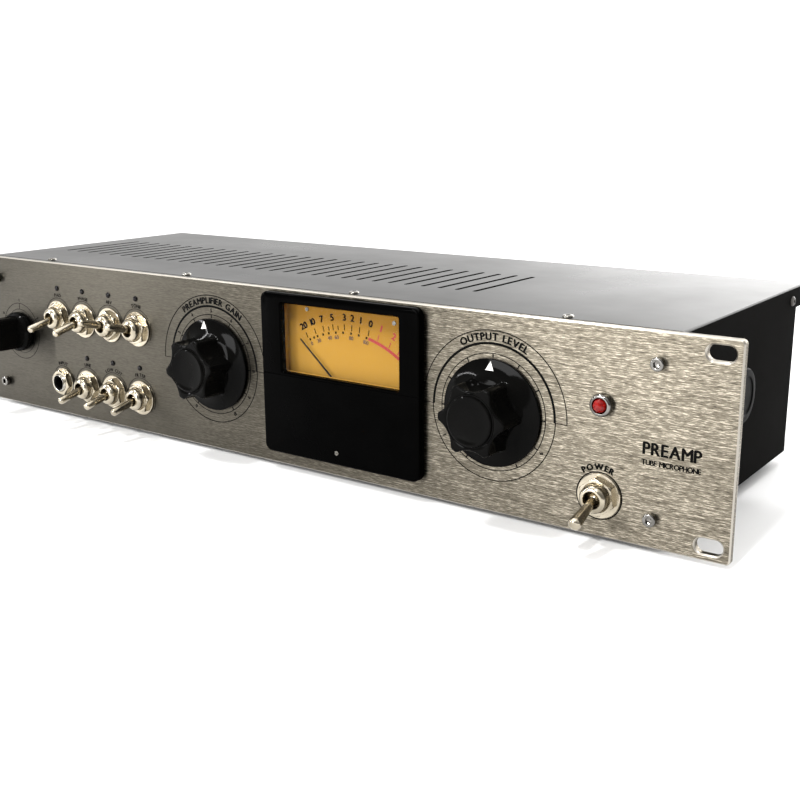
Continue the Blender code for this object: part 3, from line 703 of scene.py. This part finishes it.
def foot(number):
    """A rubber foot with a recess for its screw."""
    node = f"foot_{number}"
    low, high = cad_box(node)
    centre, radius, height = (low + high) / 2, (high.x - low.x) / 2, high.z - low.z
    profile = (
        (2, 3), (2, 1.2), (4.6, 1), (5, 0), (radius - 1.5, 0), (radius - 1.05, 0.15),
        (radius - 0.8, 0.55), (radius, height - 0.4), (radius - 0.3, height), (2, height),
    )
    rubber = turn(new(), profile, 48, (centre.x, centre.y, low.z), "z", closed=True)
    publish(f"rubber_foot_{number}", rubber, "foot_rubber", node)


def side_plug():
    """The blanking plug in the casing's right-hand side."""
    low, high = cad_box("side_plug")
    centre, radius, face = (low + high) / 2, (high.y - low.y) / 2, high.x
    profile = (
        (10.2, low.x), (10.6, low.x + 0.6), (10.6, 215.3), (radius, 215.4), (radius, face - 0.8),
        (radius - 0.5, face - 0.2), (radius - 1.4, face), (radius - 3.4, face), (radius - 4, face - 0.5),
        (1, face - 0.5),
    )
    plug = turn(new(), profile, 56, (0, centre.y, centre.z), "x")
    publish("hole_plug", plug, "black_plastic", "side_plug")


def casing_screws():
    """Screws through the lid's top and through its lips."""
    low, high = cad_box("top_cover")
    above, beside = new(), new()
    for x in LID_SCREW_X:
        button_head(above, (x, LID_SCREW_Y, high.z - 0.02), 2.4, 1, "z")
    publish("lid_screws", above, "zinc_plate")
    for side, towards in ((low.x, -1), (high.x, 1)):
        for y in SIDE_SCREW_Y:
            button_head(beside, (side - towards * 0.02, y, SIDE_SCREW_Z), 2.3, 1.1, "x", towards)
    publish("side_screws", beside, "core_steel")


# ---------------- knobs

LOBE_TIP, LOBE_VALLEY = 16.5, 13.0
TIP_HALF = math.radians(5.5)
SCALLOP_HALF = pi / 6 - TIP_HALF
SCALLOP_PLACE = (LOBE_TIP ** 2 - LOBE_VALLEY ** 2) / (2 * (LOBE_TIP * cos(SCALLOP_HALF) - LOBE_VALLEY))
SCALLOP_RADIUS = SCALLOP_PLACE - LOBE_VALLEY
KNOB_FRONT, CAP_FRONT = -18.2, -19.1
SKIRT_EDGE, SKIRT_TOP = (22.9, -1.85), (17.4, -3.2)
MARK_BASE, MARK_TIP, MARK_HALF = 18.9, 22.75, 2.0
BAR_FRONT = -23.8


def sharp_lobe(angle):
    """Grip radius with six scallops cut from a circle; one scallop is straight up."""
    off = (angle - pi / 2 + pi / 6) % (pi / 3) - pi / 6
    if abs(off) > SCALLOP_HALF:
        return LOBE_TIP
    reach = SCALLOP_RADIUS ** 2 - (SCALLOP_PLACE * sin(off)) ** 2
    return SCALLOP_PLACE * cos(off) - sqrt(reach)


def soft_lobe(factor, less=0.0):
    """The grip's outline with its corners eased, made smaller by a factor and a distance."""
    spread = radians(-1.6, -0.8, 0, 0.8, 1.6)
    return lambda angle: sum(sharp_lobe(angle + s) for s in spread) / len(spread) * factor - less


def lobed_knob(name, node, body, turned):
    """A skirted knob: conical skirt, six-lobed grip, a groove, and a dished cap."""
    x, _, z = on_axis(f"{node.split('_')[0]}_shaft")
    profile = [
        (3.3, -14.2), (3.3, -6.2), (9.2, -6.2), (9.2, -0.8), (23.4, -0.8), (23.7, -1), (23.7, -1.45),
        (23.45, -1.75), SKIRT_EDGE, SKIRT_TOP, (16.9, -3.6),
    ]
    profile += [(soft_lobe(1), -4.4), (soft_lobe(0.985), -17)]
    profile += [
        (soft_lobe(0.985, 0.9 * (1 - cos(a))), -17.2 + (KNOB_FRONT + 17.2) * sin(a))
        for a in radians(20, 40, 60, 75, 90)
    ]
    profile += [
        (12, KNOB_FRONT - 0.02), (11.5, KNOB_FRONT + 0.25), (11.1, KNOB_FRONT + 0.2),
        (10.9, KNOB_FRONT - 0.3),
        (10.75, CAP_FRONT + 0.2), (10.4, CAP_FRONT), (9.8, CAP_FRONT + 0.02), (9.2, CAP_FRONT + 0.22),
        (4, CAP_FRONT + 0.42), (0.3, CAP_FRONT + 0.45),
    ]
    knob = turn(new(), profile, 180)
    slope = (SKIRT_EDGE[1] - SKIRT_TOP[1]) / (SKIRT_EDGE[0] - SKIRT_TOP[0])
    base_y, tip_y = (SKIRT_EDGE[1] - (SKIRT_EDGE[0] - r) * slope + INK_FRONT for r in (MARK_BASE, MARK_TIP))
    front = [(-MARK_HALF, base_y, MARK_BASE), (MARK_HALF, base_y, MARK_BASE), (0, tip_y, MARK_TIP)]
    mark = skin(new(), [front, [(a, y + 0.05, b) for a, y, b in front]])
    for bm in (knob, mark):
        bm.transform(Matrix.Translation((x, 0, z)) @ Matrix.Rotation(-math.radians(turned), 4, "Y"))
    publish(name, knob, "knob_phenolic", node, body, sharp=30.0)
    publish(f"{name}_index", mark, "knob_phenolic", None, body, "ink_white")


def filter_knob():
    """A bar knob on a round skirt, with a white line and a grub screw."""
    body = "filter_control"
    x, _, z = place = on_axis("filter_shaft")
    skirt = (
        (3.3, -3), (8.6, -3), (8.6, -0.8), (11.2, -0.8), (11.5, -1.1), (11.5, -3.9), (11.3, -4.3),
        (10.4, -5.6),
        (3.3, -5.9),
    )
    publish("bar_knob_skirt", turn(new(), skirt, 72, place, closed=True), "knob_phenolic", None, body)
    layers = (
        (0, -5), (0.15, -14), (0.35, BAR_FRONT + 1.6), (0.55, BAR_FRONT + 0.8), (1, BAR_FRONT + 0.25),
        (1.7, BAR_FRONT),
    )
    bar = stack(new(), (x - 5, x + 5, z - 9.4, z + 9.4), 2.6, layers, 10, 0.5)
    grub_place = (x, -9, z)
    hole = turn(new(), ((1.5, 6), (1.5, 12)), 32, grub_place, "z")
    publish("bar_knob", bar, "knob_phenolic", "filter_knob", body, sharp=30.0, cutters=[hole])
    socket = hexagon(0.7)
    grub = ((1.4, 6.2), (1.4, 8), (1.2, 8.2), (0.9, 8.2), (socket, 8.1), (socket, 7.2), (0.05, 7.1))
    publish("bar_knob_grub_screw", turn(new(), grub, 36, grub_place, "z"), "zinc_plate", None, body)
    line = new()
    ribbon(line, [(x, z + 1), (x, z + 7.4)], 1, BAR_FRONT + INK_FRONT, BAR_FRONT + 0.01)
    publish("bar_knob_index", line, "knob_phenolic", None, body, "ink_white")


# ---------------- toggles, jack and lamp

PIVOT_Y = -3.5
TILT, POWER_TILT = radians(14, 18)
BUSHING = 5.95
MOUTH_Y = -7.5
BALL = 2.95
NUT_PHASES = (0.25, 0.55, 0.1, 0.8, 0.4, 0.95, 0.6, 0.15)
LED_RISE = 16.5


def case_behind(node):
    """A rounded case from just behind the panel to the rear of a CAD node."""
    low, high = cad_box(node)
    return block(new(), (low.x, PANEL_THICKNESS + 0.3, low.z), (high.x, high.y, high.z), 0.5)


def toggle_switch(name):
    """Case with solder lugs behind the panel, and the bushing with its thread and mouth."""
    x, _, z = place = on_axis(f"{name}_nut")
    node = f"{name}_switch"
    rear = cad_box(node)[1].y
    bm = case_behind(node)
    for dx in (-3.4, 3.4):
        for dz in (-4.7, 0, 4.7):
            a, b = x + dx, z + dz
            block(bm, (a - 0.4, rear - 0.5, b - 1.2), (a + 0.4, rear + 4.5, b + 1.2), 0.15)
    mouth = 3.7 if name == POWER else 3.35
    lip = BUSHING - mouth - 0.3
    profile = [
        (3.5, 0.6), (3.5, MOUTH_Y + 1.9), (mouth, MOUTH_Y + 0.9), (mouth, MOUTH_Y + 0.15),
        (mouth + 0.15, MOUTH_Y),
    ]
    profile += [
        (mouth + 0.3 + lip * sin(a), MOUTH_Y + 2.0 * (1 - cos(a)))
        for a in radians(0, 18, 36, 54, 72, 90)
    ]
    profile += [(BUSHING + 0.05, -4), (BUSHING + 0.05, -3.7)]
    thread = -3.5
    while thread < 3.0:
        profile += [(BUSHING, thread), (BUSHING - 0.16, thread + 0.22), (BUSHING, thread + 0.44)]
        thread += 0.62
    profile += [(BUSHING, 3.3), (BUSHING, 4)]
    publish(f"{name}_body", turn(bm, profile, 96, place), "nickel", node)


def toggle_lever(name):
    """A polished lever on its ball: a plain rod, or a bat that flares for the power switch."""
    x, _, z = on_axis(f"{name}_nut")
    profile = [(0.5, 2.6), (1.4, 2.45)]
    profile += [(BALL * cos(a), BALL * sin(a)) for a in radians(45, 25, 5, -15, -35, -50)]
    if name == POWER:
        rod = [(1.9, -3.4), (1.95, -6), (2.2, -10), (2.5, -14), (2.75, -17.2), (2.75, -18.6)]
        length, tilt = 20.2, POWER_TILT
    else:
        rod = [(1.95, -3.2), (2, -6), (2, -12), (2, -16.8)]
        length, tilt = 18.2, -TILT if name in LEVERS_UP else TILT
    tip, start = rod[-1]
    dome = length + start
    profile += rod + [(tip * cos(a), start - dome * sin(a)) for a in radians(20, 40, 58, 74, 87)]
    lever = turn(new(), profile, 40)
    lever.transform(Matrix.Translation((x, PIVOT_Y, z)) @ Matrix.Rotation(tilt, 4, "X"))
    publish(f"{name}_handle", lever, "nickel", f"{name}_lever", f"{name}_arm", sharp=40.0)


def nut_and_washer(name, flat, bore, washer, phase):
    """A chamfered hexagon nut over a thin washer."""
    node = f"{name}_nut"
    place = on_axis(node)
    front, rear = -3.4, -0.9
    corner = flat / cos(pi / 6)
    limits = (
        (flat, front), (flat * 1.06, front + 0.12), (corner * 0.965, front + 0.45), (corner, front + 0.8),
        (corner, rear - 0.4), (corner * 0.975, rear),
    )
    profile = [(hexagon(flat, phase, limit), y) for limit, y in limits]
    profile += [(bore, rear), (bore, front + 0.4), (bore + 0.4, front)]
    nut = turn(new(), profile, 144, place, closed=True)
    publish(f"{name}_hex_nut", nut, "nickel", node, sharp=30.0)
    ring = (
        (washer - 0.2, -0.85), (washer, -0.65), (washer, -0.25), (washer - 0.1, -0.1), (bore + 0.1, -0.1),
        (bore + 0.1, -0.85),
    )
    publish(f"{name}_washer", turn(new(), ring, 96, place, closed=True), "nickel")


def jack():
    """The jack: case behind the panel, threaded bushing, and a black liner down its bore."""
    place = on_axis("jack_nut")
    bore = turn(new(), ((3.3, -8), (3.3, cad_box("jack_socket")[1].y - 3)), 48, place)
    publish("jack_case", case_behind("jack_socket"), "black_plastic", "jack_socket", cutters=[bore])
    profile = [(4.25, 3.2), (4.25, -4.3), (4.4, -4.55), (4.6, -4.6), (4.72, -4.45)]
    thread = -4.0
    while thread < 2.6:
        profile += [(4.75, thread), (4.6, thread + 0.2), (4.75, thread + 0.4)]
        thread += 0.6
    profile.append((4.75, 3.2))
    publish("jack_bushing", turn(new(), profile, 72, place, closed=True), "jack_plating")
    liner = ((3.25, 3.4), (3.25, -3.6), (3.6, -4), (4, -4.05), (4.2, -3.8), (4.2, 3.4))
    publish("jack_liner", turn(new(), liner, 64, place, closed=True), "black_plastic")


def jewel_lamp():
    """A turned bezel round a red lens with ten facets to a row."""
    x, _, z = place = on_axis("indicator_bezel")
    bezel = (
        (3.1, 0.2), (3.1, -3.1), (3.35, -3.4), (3.8, -3.5), (4.2, -3.35), (4.55, -2.9), (4.8, -2.2),
        (4.9, -1.2),
        (4.9, -0.5), (4.75, -0.3), (3.7, -0.3), (3.7, 12), (3.1, 12),
    )
    publish("lamp_bezel", turn(new(), bezel, 72, place, closed=True), "chrome", "indicator_bezel")
    rings = []
    for row, (radius, y) in enumerate(((2.8, -0.2), (2.8, -3.3), (2.45, -4.2), (1.75, -4.95), (0.85, -5.3))):
        angles = [pi / 10 * (row % 2) + tau * i / 10 for i in range(10)]
        rings.append([(x + radius * cos(a), y, z + radius * sin(a)) for a in angles])
    jewel = skin(new(), rings)
    bmesh.ops.triangulate(jewel, faces=[f for f in jewel.faces if len(f.verts) == 4])
    publish("lamp_jewel", jewel, "red_lens", "indicator_lens", sharp=5.0)


def indicator_leds():
    """A small dark dome over every toggle but the power switch."""
    dome = [(1.55, 0)]
    dome += [(1.5 * cos(a), -0.25 - 0.75 * sin(a)) for a in radians(0, 25, 50, 70, 85)]
    bm = new()
    for name in TOGGLES[:-1]:
        x, _, z = on_axis(f"{name}_nut")
        turn(bm, dome, 32, (x, 0, z + LED_RISE))
    publish("indicator_leds", bm, "black_plastic", ink="led_smoke")


# ---------------- meter

WINDOW = (18.9, 88.4, 48.2, 81.8)
ROOM = (14.8, 91.2, 34.5, 82.2)
STEP_Z = 47.5
SCALE_CENTRE = (53.3, 17.2)
SCALE_RADIUS = 52.3
RED_FROM = 13.6
LONG_TICK, SHORT_TICK = 4, 3.2
SCALE_MARKS = (
    (-27.5, "20"), (-21.5, "10"), (-15.9, "7"), (-12.4, ""), (-9.6, "5"), (-6.4, ""), (-2.4, "3"), (2.2, "2"),
    (7, "1"), (12.6, "0"), (18.6, "1"), (26, "2"), (32, "3"),
)
PERCENT_MARKS = (
    (-26.5, "0"), (-23.6, ""), (-21, "20"), (-17, ""), (-13, "40"), (-8.2, "60"), (-3.4, ""),
    (1.8, "80"),
    (6.8, ""), (11.8, "100"),
)
NEEDLE_PIVOT = (53.02, 3, 39.6)
NEEDLE_REST = math.radians(-48.8)
ZERO_SCREW = (52.4, 13.2)


def meter_case():
    """The meter's housing: a rounded front with a window, the room behind it, and a step groove."""
    low, high = cad_box("meter_case")
    face = low.y
    bm = plate(new(), face_of("meter_case"), 4, face, -0.3, 0.9, 10)
    plate(bm, face_of("meter_case", 3.6, 3.4), 2, -0.35, high.y, 0.02, 6)
    flared = ((-0.7, face - 0.5), (-0.5, face + 0.15), (0, face + 0.75), (0, 2))
    window = stack(new(), WINDOW, 1, flared)
    room = prism(new(), rounded_rectangle(*ROOM, 1.5, 4), (-0.8, 8.5))
    section = (
        (face - 0.5, STEP_Z - 1.6), (face + 0.35, STEP_Z - 0.75), (face + 0.35, STEP_Z - 0.45),
        (face - 0.5, STEP_Z - 0.1),
    )
    groove = prism(new(), section, (low.x - 1, high.x + 1), "x")
    publish("meter_housing", bm, "meter_black", "meter_case", sharp=30.0, cutters=[window, room, groove])


def meter_sheet(name, node, slot, bevel, steps):
    """The clear pane or the amber card: a thin plate with round corners."""
    low, high = cad_box(node)
    publish(name, plate(new(), face_of(node), 1, low.y, high.y, bevel, steps), slot, node)


def meter_print():
    """The card's scale, its numbers, its screws, and the liner at the window's edges."""
    card = cad_box("meter_scale")[0].y
    depth = {"front": card + INK_FRONT, "rear": card + INK_REAR}
    inks = {"black": new(), "red": new(), "brown": new()}
    ribbon(inks["red"], arc(SCALE_CENTRE, SCALE_RADIUS, 13, 34), 1.5, **depth)
    for angle, text in SCALE_MARKS:
        ink = inks["red" if angle > RED_FROM else "black"]
        tick = SCALE_RADIUS + (LONG_TICK if text else SHORT_TICK)
        ray(ink, SCALE_CENTRE, angle, SCALE_RADIUS + 1.2, tick, 0.5, **depth)
        write(ink, text, SCALE_CENTRE, tick + 1.7, 4.5, angle, 0.05, front=depth["front"])
    for angle, text in PERCENT_MARKS:
        ribbon(inks["black"], arc(SCALE_CENTRE, SCALE_RADIUS, angle - 0.55, angle + 0.55, 4), 1.1, **depth)
        write(inks["brown"], text, SCALE_CENTRE, SCALE_RADIUS - 3.1, 2.6, angle, 0.05, front=depth["front"])
    for color, bm in inks.items():
        publish(f"meter_print_{color}", bm, "scale_card", ink=f"ink_{color}")
    liner = block(new(), (15.1, -0.6, 46.7), (16, card - 0.2, 81.6), 0.1)
    block(liner, (16, -0.6, 46.7), (90.8, 2, 47.9), 0.15)
    publish("meter_liner", liner, "scale_card")
    screws = new()
    for place in ((28.5, 78.5), (80, 77)):
        slotted_head(screws, place, 1, card - 0.05)
    publish("meter_card_screws", screws, "zinc_plate")


def slotted_head(bm, place, radius, front):
    """A small cheese-head screw whose slot is a pair of raised halves."""
    x, z = place
    height = 0.5
    for side in (-1, 1):
        angles = [math.radians(12 + 156 * i / 12) * side for i in range(13)]
        outline = [(x + radius * cos(a), z + radius * sin(a)) for a in angles]
        prism(bm, outline, (front - height, front - height * 0.4))
    return turn(bm, ((radius, front - height * 0.42), (radius, front)), 32, (x, 0, z))


def meter_needle():
    """A tapered pointer with a round hub, a tail and a counterweight."""
    blade = ((-0.24, 37), (-0.42, 4), (-0.5, -6), (0.5, -6), (0.42, 4), (0.24, 37))
    bm = prism(new(), blade, (-0.28, 0.28))
    turn(bm, ((1.6, -0.9), (2.2, -0.6), (2.4, -0.35), (2.4, 0.3)), 40)
    prism(bm, rounded_rectangle(-1, 1, -6.4, -4.6, 0.4, 4), (-0.45, 0.45))
    bm.transform(Matrix.Translation(NEEDLE_PIVOT) @ Matrix.Rotation(NEEDLE_REST, 4, "Y"))
    publish("meter_pointer", bm, "needle_black", "meter_needle", "needle")


def zero_adjuster():
    front = cad_box("meter_case")[0].y - 0.02
    publish("meter_zero_screw", slotted_head(new(), ZERO_SCREW, 1.1, front), "zinc_plate")


# ---------------- printing on the panel

DIAL_STEPS = [-150 + 30 * i for i in range(11)]
SWITCH_LABELS = ("PAD", "PHASE", "48V", "TONE", "LINE", "LOW CUT", "FILTER")
NAME_X = 215.5


def panel_centre(node):
    x, _, z = on_axis(node)
    return x, z


def knob_scale(bm, name, title, numbers):
    """Scale ring with ticks, half-round borders and a curved title round one big knob."""
    centre = panel_centre(f"{name}_shaft")
    ribbon(bm, arc(centre, 35.6, -90, 90), 0.45)
    ribbon(bm, arc(centre, 30, -90, 90), 1.1)
    ribbon(bm, arc(centre, 30.3, 90, 270), 0.45)
    for side in (-1, 1):
        ribbon(bm, [(centre[0] + side * r, centre[1]) for r in (29.7, 35.8)], 0.35)
    ring_line(bm, centre, 25.75, 0.4)
    for angle in DIAL_STEPS:
        ray(bm, centre, angle, 23.9, 25.8, 0.6)
    for angle, text in numbers:
        write(bm, text, centre, 26.9, 2.7, angle, 0.05)
    write(bm, title, centre, 31.3, 4.5)


def panel_printing():
    """Everything printed on the panel, as one piece of ink."""
    bm = new()
    knob_scale(bm, "gain", "PREAMPLIFIER GAIN", [(a, str(i)) for i, a in enumerate(DIAL_STEPS)])
    knob_scale(bm, "output", "OUTPUT LEVEL", [(-120, "1"), (120, "9")])
    x, z = panel_centre("output_shaft")
    ribbon(bm, [(cad_box("meter_case")[1].x + 0.3, z), (x - 35.6, z)], 0.35)
    centre = panel_centre("filter_shaft")
    ring_line(bm, centre, 16.5, 0.3)
    ring_line(bm, centre, 13, 0.25)
    for angle, text in ((-60, "0"), (0, "1"), (60, "2")):
        write(bm, text, centre, 17.6, 2.4, angle)
        ray(bm, centre, angle, 13, 16.4, 0.4)
    for name, label in zip(TOGGLES, SWITCH_LABELS):
        centre = panel_centre(f"{name}_nut")
        ribbon(bm, arc(centre, 11, -118, 118), 0.3)
        write(bm, label, centre, 11.7, 2.7, 0, 0.10)
    centre = panel_centre("jack_nut")
    ribbon(bm, arc(centre, 9.4, -100, 100), 0.3)
    write(bm, "INPUT", centre, 10.1, 2.7, 0, 0.10)
    centre = panel_centre("power_toggle_nut")
    ring_line(bm, centre, 10, 0.55)
    write(bm, "POWER", centre, 10.9, 3.6, -6, 0.14)
    write(bm, "PREAMP", (NAME_X, 38.6), None, 7.2, 0, 0.10, 0.92)
    write(bm, "TUBE MICROPHONE", (NAME_X, 34.3), None, 3.1, 0, 0.07, 0.9)
    publish("panel_printing", bm, "panel_aluminium", ink="ink_black")


# ---------------- rear sockets

TRAY_REAR_Y = 149.3
BEYOND_Y = 170.0
INLET_SCREW_X = 20.0
XLR_REAR_Y = 151.3
XLR_SCREWS = ((-9.5, 12), (9.5, -12))


def mains_inlet():
    """The mains inlet: flange, body, a mouth with three blades, and two screws."""
    low, high = cad_box("mains_inlet")
    x, _, z = on_axis("mains_inlet")
    rear = high.y
    screw_x = (x - INLET_SCREW_X, x + INLET_SCREW_X)
    layers = ((0, TRAY_REAR_Y), (0, rear - 0.5), (0.2, rear - 0.12), (0.6, rear))
    bm = stack(new(), face_of("mains_inlet"), 4, layers, 8, 0)
    prism(bm, rounded_rectangle(x - 13.8, x + 13.8, z - 9.9, z + 9.9, 1.5, 6), (low.y, TRAY_REAR_Y + 0.05))
    recess = prism(new(), rounded_rectangle(x - 12, x + 12, z - 8, z + 8, 1.5, 6), (132, BEYOND_Y))
    for a in screw_x:
        turn(recess, ((1.7, 140), (1.7, BEYOND_Y)), 32, (a, 0, z))
    publish("power_inlet", bm, "black_plastic", "mains_inlet", sharp=30.0, cutters=[recess])
    pins = new()
    for a, b in ((x - 7, z - 2), (x, z + 2.2), (x + 7, z - 2)):
        block(pins, (a - 1, 131.9, b - 2.2), (a + 1, 146, b + 2.2), 0.4)
    publish("power_inlet_pins", pins, "nickel")
    screws = new()
    for a in screw_x:
        button_head(screws, (a, rear - 0.3, z), 2.9, 1.2, "y")
    publish("power_inlet_screws", screws, "zinc_plate")


def xlr_socket(name, node, male):
    """A three-pole socket: flange with two screws, a round recess, and pins or a core with holes."""
    x, _, z = place = on_axis(node)
    rear = XLR_REAR_Y
    layers = ((0, TRAY_REAR_Y), (0, rear - 0.4), (0.15, rear - 0.1), (0.45, rear))
    bm = stack(new(), face_of(node), 2, layers, 6, 0)
    turn(bm, ((11.8, cad_box(node)[0].y), (11.8, TRAY_REAR_Y + 0.05)), 64, place)
    recess = turn(new(), ((9.6, 134), (9.6, rear - 0.5), (10.1, rear + 0.2), (10.1, BEYOND_Y)), 64, place)
    screws = new()
    for dx, dz in XLR_SCREWS:
        turn(recess, ((1.6, 145), (1.6, BEYOND_Y)), 24, (x + dx, 0, z + dz))
        button_head(screws, (x + dx, rear - 0.2, z + dz), 2.3, 1, "y")
    publish(name, bm, "black_plastic", node, sharp=30.0, cutters=[recess])
    publish(f"{name}_screws", screws, "zinc_plate")
    poles = new()
    pin = ((1.2, 133.8), (1.2, 144.5), (1.05, 145.3), (0.6, 145.9), (0.15, 146.1))
    hole = ((1.5, 139), (1.5, 160))
    for angle in radians(-60, 60, 180):
        turn(poles, pin if male else hole, 28, (x + 4.2 * sin(angle), 0, z + 4.2 * cos(angle)))
    if male:
        publish(f"{name}_pins", poles, "nickel")
        return
    core = turn(new(), ((7, 133.8), (7, 148.8), (6.7, 149.3), (6.3, 149.5)), 64, place)
    publish(f"{name}_core", core, "black_plastic", sharp=30.0, cutters=[poles])
    latch = block(new(), (x - 2.6, 148.5, z + 11.6), (x + 2.6, rear + 1.6, z + 14.6), 0.5)
    publish(f"{name}_latch", latch, "zinc_plate")


# ---------------- studio

LENS, SENSOR = 49.83, 36.0
CAMERA_PLACE = (370.9, -392.16, 168.06)
CAMERA_ANGLES = (-35.974, 14.452, -0.338)
LIGHTS = (
    # name, place and target in metres, size in metres, power in watts
    ("key_front", (-0.42, -1.45, 0.35), (0.14, 0.0, 0.04), (0.5, 0.45), 12.0),
    ("streak_left", (-1.16, -0.95, 0.55), (-0.10, 0.0, 0.04), (0.03, 1.0), 10.0),
    ("window", (0.25, -0.9, 1.0), (0.05, 0.0, 0.04), (0.08, 0.12), 9.0),
    ("lamp_above", (-0.30, -0.30, 1.1), (0.05, 0.0, 0.04), (0.10, 0.10), 6.0),
)
FLOOR_RADIUS = 9000.0


def keep_nodes():
    """Gives the CAD nodes that stay in view their finished materials."""
    slot_of = {part["node"]: part.get("material_slot") for part in frame["record"]["subparts"]}
    for node, obj in frame["nodes"].items():
        if not obj.hide_render:
            obj.data.materials.clear()
            obj.data.materials.append(MATERIALS[slot_of[node]])


def camera():
    """The photograph's viewpoint, with the image centred on the lens axis."""
    data = bpy.data.cameras.new("camera")
    data.lens = LENS
    data.sensor_width = SENSOR
    data.clip_start, data.clip_end = 0.02, 40.0
    item = show("camera", data)
    bpy.context.scene.camera = item
    yaw, pitch, roll = radians(*CAMERA_ANGLES)
    forward = Vector((sin(yaw) * cos(pitch), cos(yaw) * cos(pitch), -sin(pitch)))
    level = Vector((cos(yaw), -sin(yaw), 0.0))
    upright = level.cross(forward)
    right = level * cos(roll) + upright * sin(roll)
    up = upright * cos(roll) - level * sin(roll)
    axes = Matrix((right, up, -forward)).transposed().to_4x4()
    item.matrix_world = Matrix.Translation(ORIGIN + Vector(CAMERA_PLACE) * MM) @ axes


def soft_light(name, place, target, size, power):
    data = bpy.data.lights.new(name, "AREA")
    data.shape = "RECTANGLE"
    data.size, data.size_y = size
    data.energy = power
    item = show(name, data)
    item.location = place
    item.rotation_euler = (Vector(target) - Vector(place)).to_track_quat("-Z", "Y").to_euler()


def world():
    """Soft surround, brightest overhead and behind, with a brighter patch low behind on the right."""
    surround = bpy.data.worlds.new("studio")
    surround.use_nodes = True
    bpy.context.scene.world = surround
    tree = surround.node_tree
    view = add_node(tree, "TexCoord").outputs["Generated"]

    def steps_of(value, *steps):
        for operation, amount in steps:
            node = add_node(tree, "Math")
            node.operation = operation
            fill(tree, node.inputs[0], value)
            fill(tree, node.inputs[1], amount)
            value = node.outputs["Value"]
        return value

    def towards(direction):
        node = add_node(tree, "VectorMath")
        node.operation = "DOT_PRODUCT"
        fill(tree, node.inputs[0], view)
        fill(tree, node.inputs[1], Vector(direction).normalized())
        return node.outputs["Value"]

    dome = steps_of(
        towards((-0.30, 0.50, 0.81)),
        ("ADD", 0.35), ("MAXIMUM", 0.0), ("POWER", 2.0), ("MULTIPLY", 1.2), ("ADD", 0.30),
    )
    glow = steps_of(towards((0.15, 0.97, 0.17)), ("MAXIMUM", 0.0), ("POWER", 10.0), ("MULTIPLY", 9.0))
    background = tree.nodes["Background"]
    fill(tree, background.inputs["Strength"], steps_of(dome, ("ADD", glow)))
    fill(tree, background.inputs["Color"], (1.0, 0.995, 0.985, 1.0))


def floor():
    """A plain pale studio floor."""
    disc = ((FLOOR_RADIUS, FLOOR_Z - 0.3), (FLOOR_RADIUS, FLOOR_Z))
    item = solid("studio_floor", turn(new(), disc, 96, axis="z"))
    s = Surface("studio_floor", Specular_IOR_Level=0.2)
    s.shades(6.0, grey(0.72), grey(0.76), (0.55, 0.7))
    item.data.materials.append(s.material)
    item.data.transform(Matrix.Translation(ORIGIN) @ Matrix.Scale(MM, 4))


# ---------------- assembly

bpy.context.scene.view_settings.view_transform = "Standard"
camera()
floor()
world()
for light in LIGHTS:
    soft_light(*light)
MATERIALS = make_materials()

front_panel()
top_cover()
side_plug()
casing_screws()
for number in range(1, 5):
    panel_screw(number)
    foot(number)

lobed_knob("gain_grip", "gain_knob", "gain_control", 9.0)
lobed_knob("output_grip", "output_knob", "output_control", 0.0)
filter_knob()

for toggle, phase in zip(TOGGLES, NUT_PHASES):
    toggle_switch(toggle)
    toggle_lever(toggle)
    nut_and_washer(toggle, 7.2, BUSHING + 0.1, 9.5, phase)
nut_and_washer("jack", 6.6, 4.9, 8.2, 0.3)
jack()
jewel_lamp()
indicator_leds()

meter_case()
meter_sheet("meter_pane", "meter_window", "clear_window", 0.25, 6)
meter_sheet("meter_card", "meter_scale", "scale_card", 0.1, 5)
meter_print()
meter_needle()
zero_adjuster()

panel_printing()
mains_inlet()
xlr_socket("mic_socket", "mic_input_socket", False)
xlr_socket("line_socket", "line_output_socket", True)
keep_nodes()
